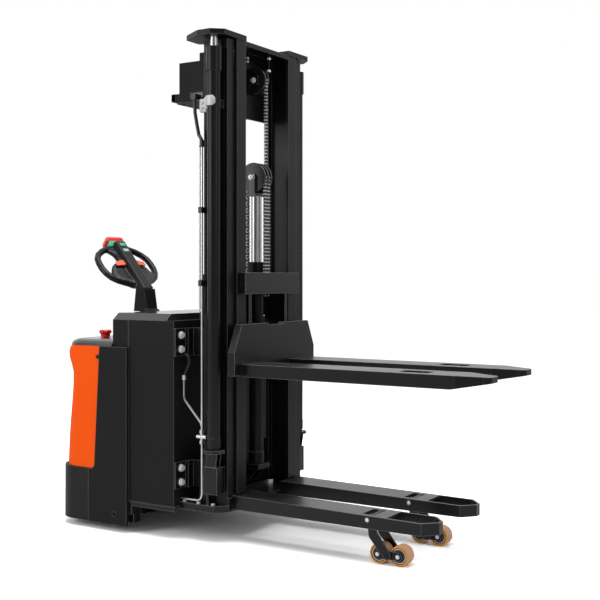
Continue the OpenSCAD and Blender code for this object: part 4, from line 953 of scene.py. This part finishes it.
# %% [markdown]
# The studio is plain: a pale floor, a bright sky that only the camera and reflections
# see as white, and soft lamps. The camera sees a brighter floor than the light does, so
# that its open parts are white. Near the truck it sees a darker floor, which is painted
# shade that keeps the shadow under the truck deep.

# %% The floor
FLOOR_LIT = 0.90         # what the floor gives back of the light that falls on it
# Near the truck the camera sees the floor darker: painted shade that deepens its shadow.
FLOOR_NEAR_SHADED = 1.9         # and what the camera sees of it, near the truck and further off,
FLOOR_FAR = 2.9          # so that its open parts are white
FLOOR_FADE = (1.2, 3.2)  # metres from the middle between which near goes over to far


def camera_sees(tree):
    """1 for rays from the camera, also through glass, and the node that tells rays apart."""
    path = tree.nodes.new("ShaderNodeLightPath")
    return math_node(tree, "MAXIMUM", path.outputs["Is Camera Ray"],
                     path.outputs["Is Transmission Ray"]), path


def smooth_ramp(tree, value, start, end, low, high):
    """A number that goes smoothly from low to high while a value goes from start to end."""
    ramp = tree.nodes.new("ShaderNodeMapRange")
    ramp.interpolation_type = "SMOOTHSTEP"
    for label, number in (("From Min", start), ("From Max", end), ("To Min", low),
                          ("To Max", high)):
        ramp.inputs[label].default_value = number
    tree.links.new(value, ramp.inputs["Value"])
    return ramp.outputs["Result"]


def make_floor():
    """A large matt plane just under the wheels."""
    start_clean()
    bpy.ops.mesh.primitive_plane_add(size=60, location=(0, 0, -0.0005))
    floor = bpy.context.object
    floor.name = "floor"
    pale = bpy.data.materials.new("pale_floor")
    pale.use_nodes = True
    tree = pale.node_tree
    distance = tree.nodes.new("ShaderNodeVectorMath")
    distance.operation = "LENGTH"
    tree.links.new(tree.nodes.new("ShaderNodeTexCoord").outputs["Object"], distance.inputs[0])
    # painted shade: the floor is seen darker near the truck
    paper = smooth_ramp(tree, distance.outputs["Value"], *FLOOR_FADE, FLOOR_NEAR_SHADED, FLOOR_FAR)
    colour = mix_colour(tree, camera_sees(tree)[0], grey(FLOOR_LIT), paper)
    matt = tree.nodes.new("ShaderNodeBsdfDiffuse")
    tree.links.new(colour, matt.inputs["Color"])
    tree.links.new(matt.outputs[0], tree.nodes["Material Output"].inputs["Surface"])
    floor.data.materials.append(pale)
    return floor


print("floor", make_floor().name)

# %% [markdown]
# Glossy faces mirror the room: bright paper behind the truck, and a dark room on the
# camera's side. That difference is what draws the edges of a black machine, so the sky
# has one strength for each kind of ray.

# %% The sky
SKY_LIGHT = 0.36         # strength for light that falls on the truck
BACKDROP_SHINE = 0.95    # what glossy faces mirror of the white paper behind the truck
ROOM_SHINE = 0.16        # and of the dark room on the camera's side
BACKDROP = (-0.53, 0.848, 0.35)    # the way to the paper, away from the camera
SHINE_FADE = (-0.35, 0.6)          # how far towards it the room goes over to the paper


def make_sky():
    """A world whose strength depends on the ray and on where it goes."""
    world = bpy.data.worlds.new("studio")
    bpy.context.scene.world = world
    world.use_nodes = True
    sky = world.node_tree
    white, path = camera_sees(sky)
    facing = sky.nodes.new("ShaderNodeVectorMath")
    facing.operation = "DOT_PRODUCT"
    facing.inputs[1].default_value = BACKDROP
    sky.links.new(sky.nodes.new("ShaderNodeTexCoord").outputs["Generated"], facing.inputs[0])
    mirrored = smooth_ramp(sky, facing.outputs["Value"], *SHINE_FADE, ROOM_SHINE,
                           BACKDROP_SHINE)
    shine = math_node(sky, "MULTIPLY", path.outputs["Is Glossy Ray"], mirrored)
    diffuse = math_node(sky, "MULTIPLY", path.outputs["Is Diffuse Ray"], SKY_LIGHT)
    level = math_node(sky, "MAXIMUM", white, math_node(sky, "MAXIMUM", shine, diffuse))
    plain = sky.nodes["Background"]
    plain.inputs["Color"].default_value = (1, 1, 1, 1)
    sky.links.new(level, plain.inputs["Strength"])
    return world


print("sky", make_sky().name)

# %% [markdown]
# Three large square lamps light the truck: the main one overhead, a weaker one on the
# camera's left, which shows the box and the hood, and a faint one before the forks.

# %% The lamps
def soft_lamp(name, place, target, size, power):
    """A square lamp that looks at a point."""
    data = bpy.data.lights.new(name, "AREA")
    data.shape = "SQUARE"
    data.size = size
    data.energy = power
    lamp = bpy.data.objects.new(name, data)
    lamp.location = place
    lamp.rotation_euler = (Vector(target) - Vector(place)).to_track_quat("-Z", "Y").to_euler()
    bpy.context.scene.collection.objects.link(lamp)


soft_lamp("top", (0.3, -0.6, 4.6), (0, 0, 0.8), 3.2, 150)
soft_lamp("left_side", (-2.6, -4.2, 2.4), (-0.3, 0, 0.9), 2.4, 64)
soft_lamp("front_side", (4.2, -1.2, 2.6), (0, 0, 1.0), 2.0, 14)
bpy.context.scene.view_settings.view_transform = "Standard"
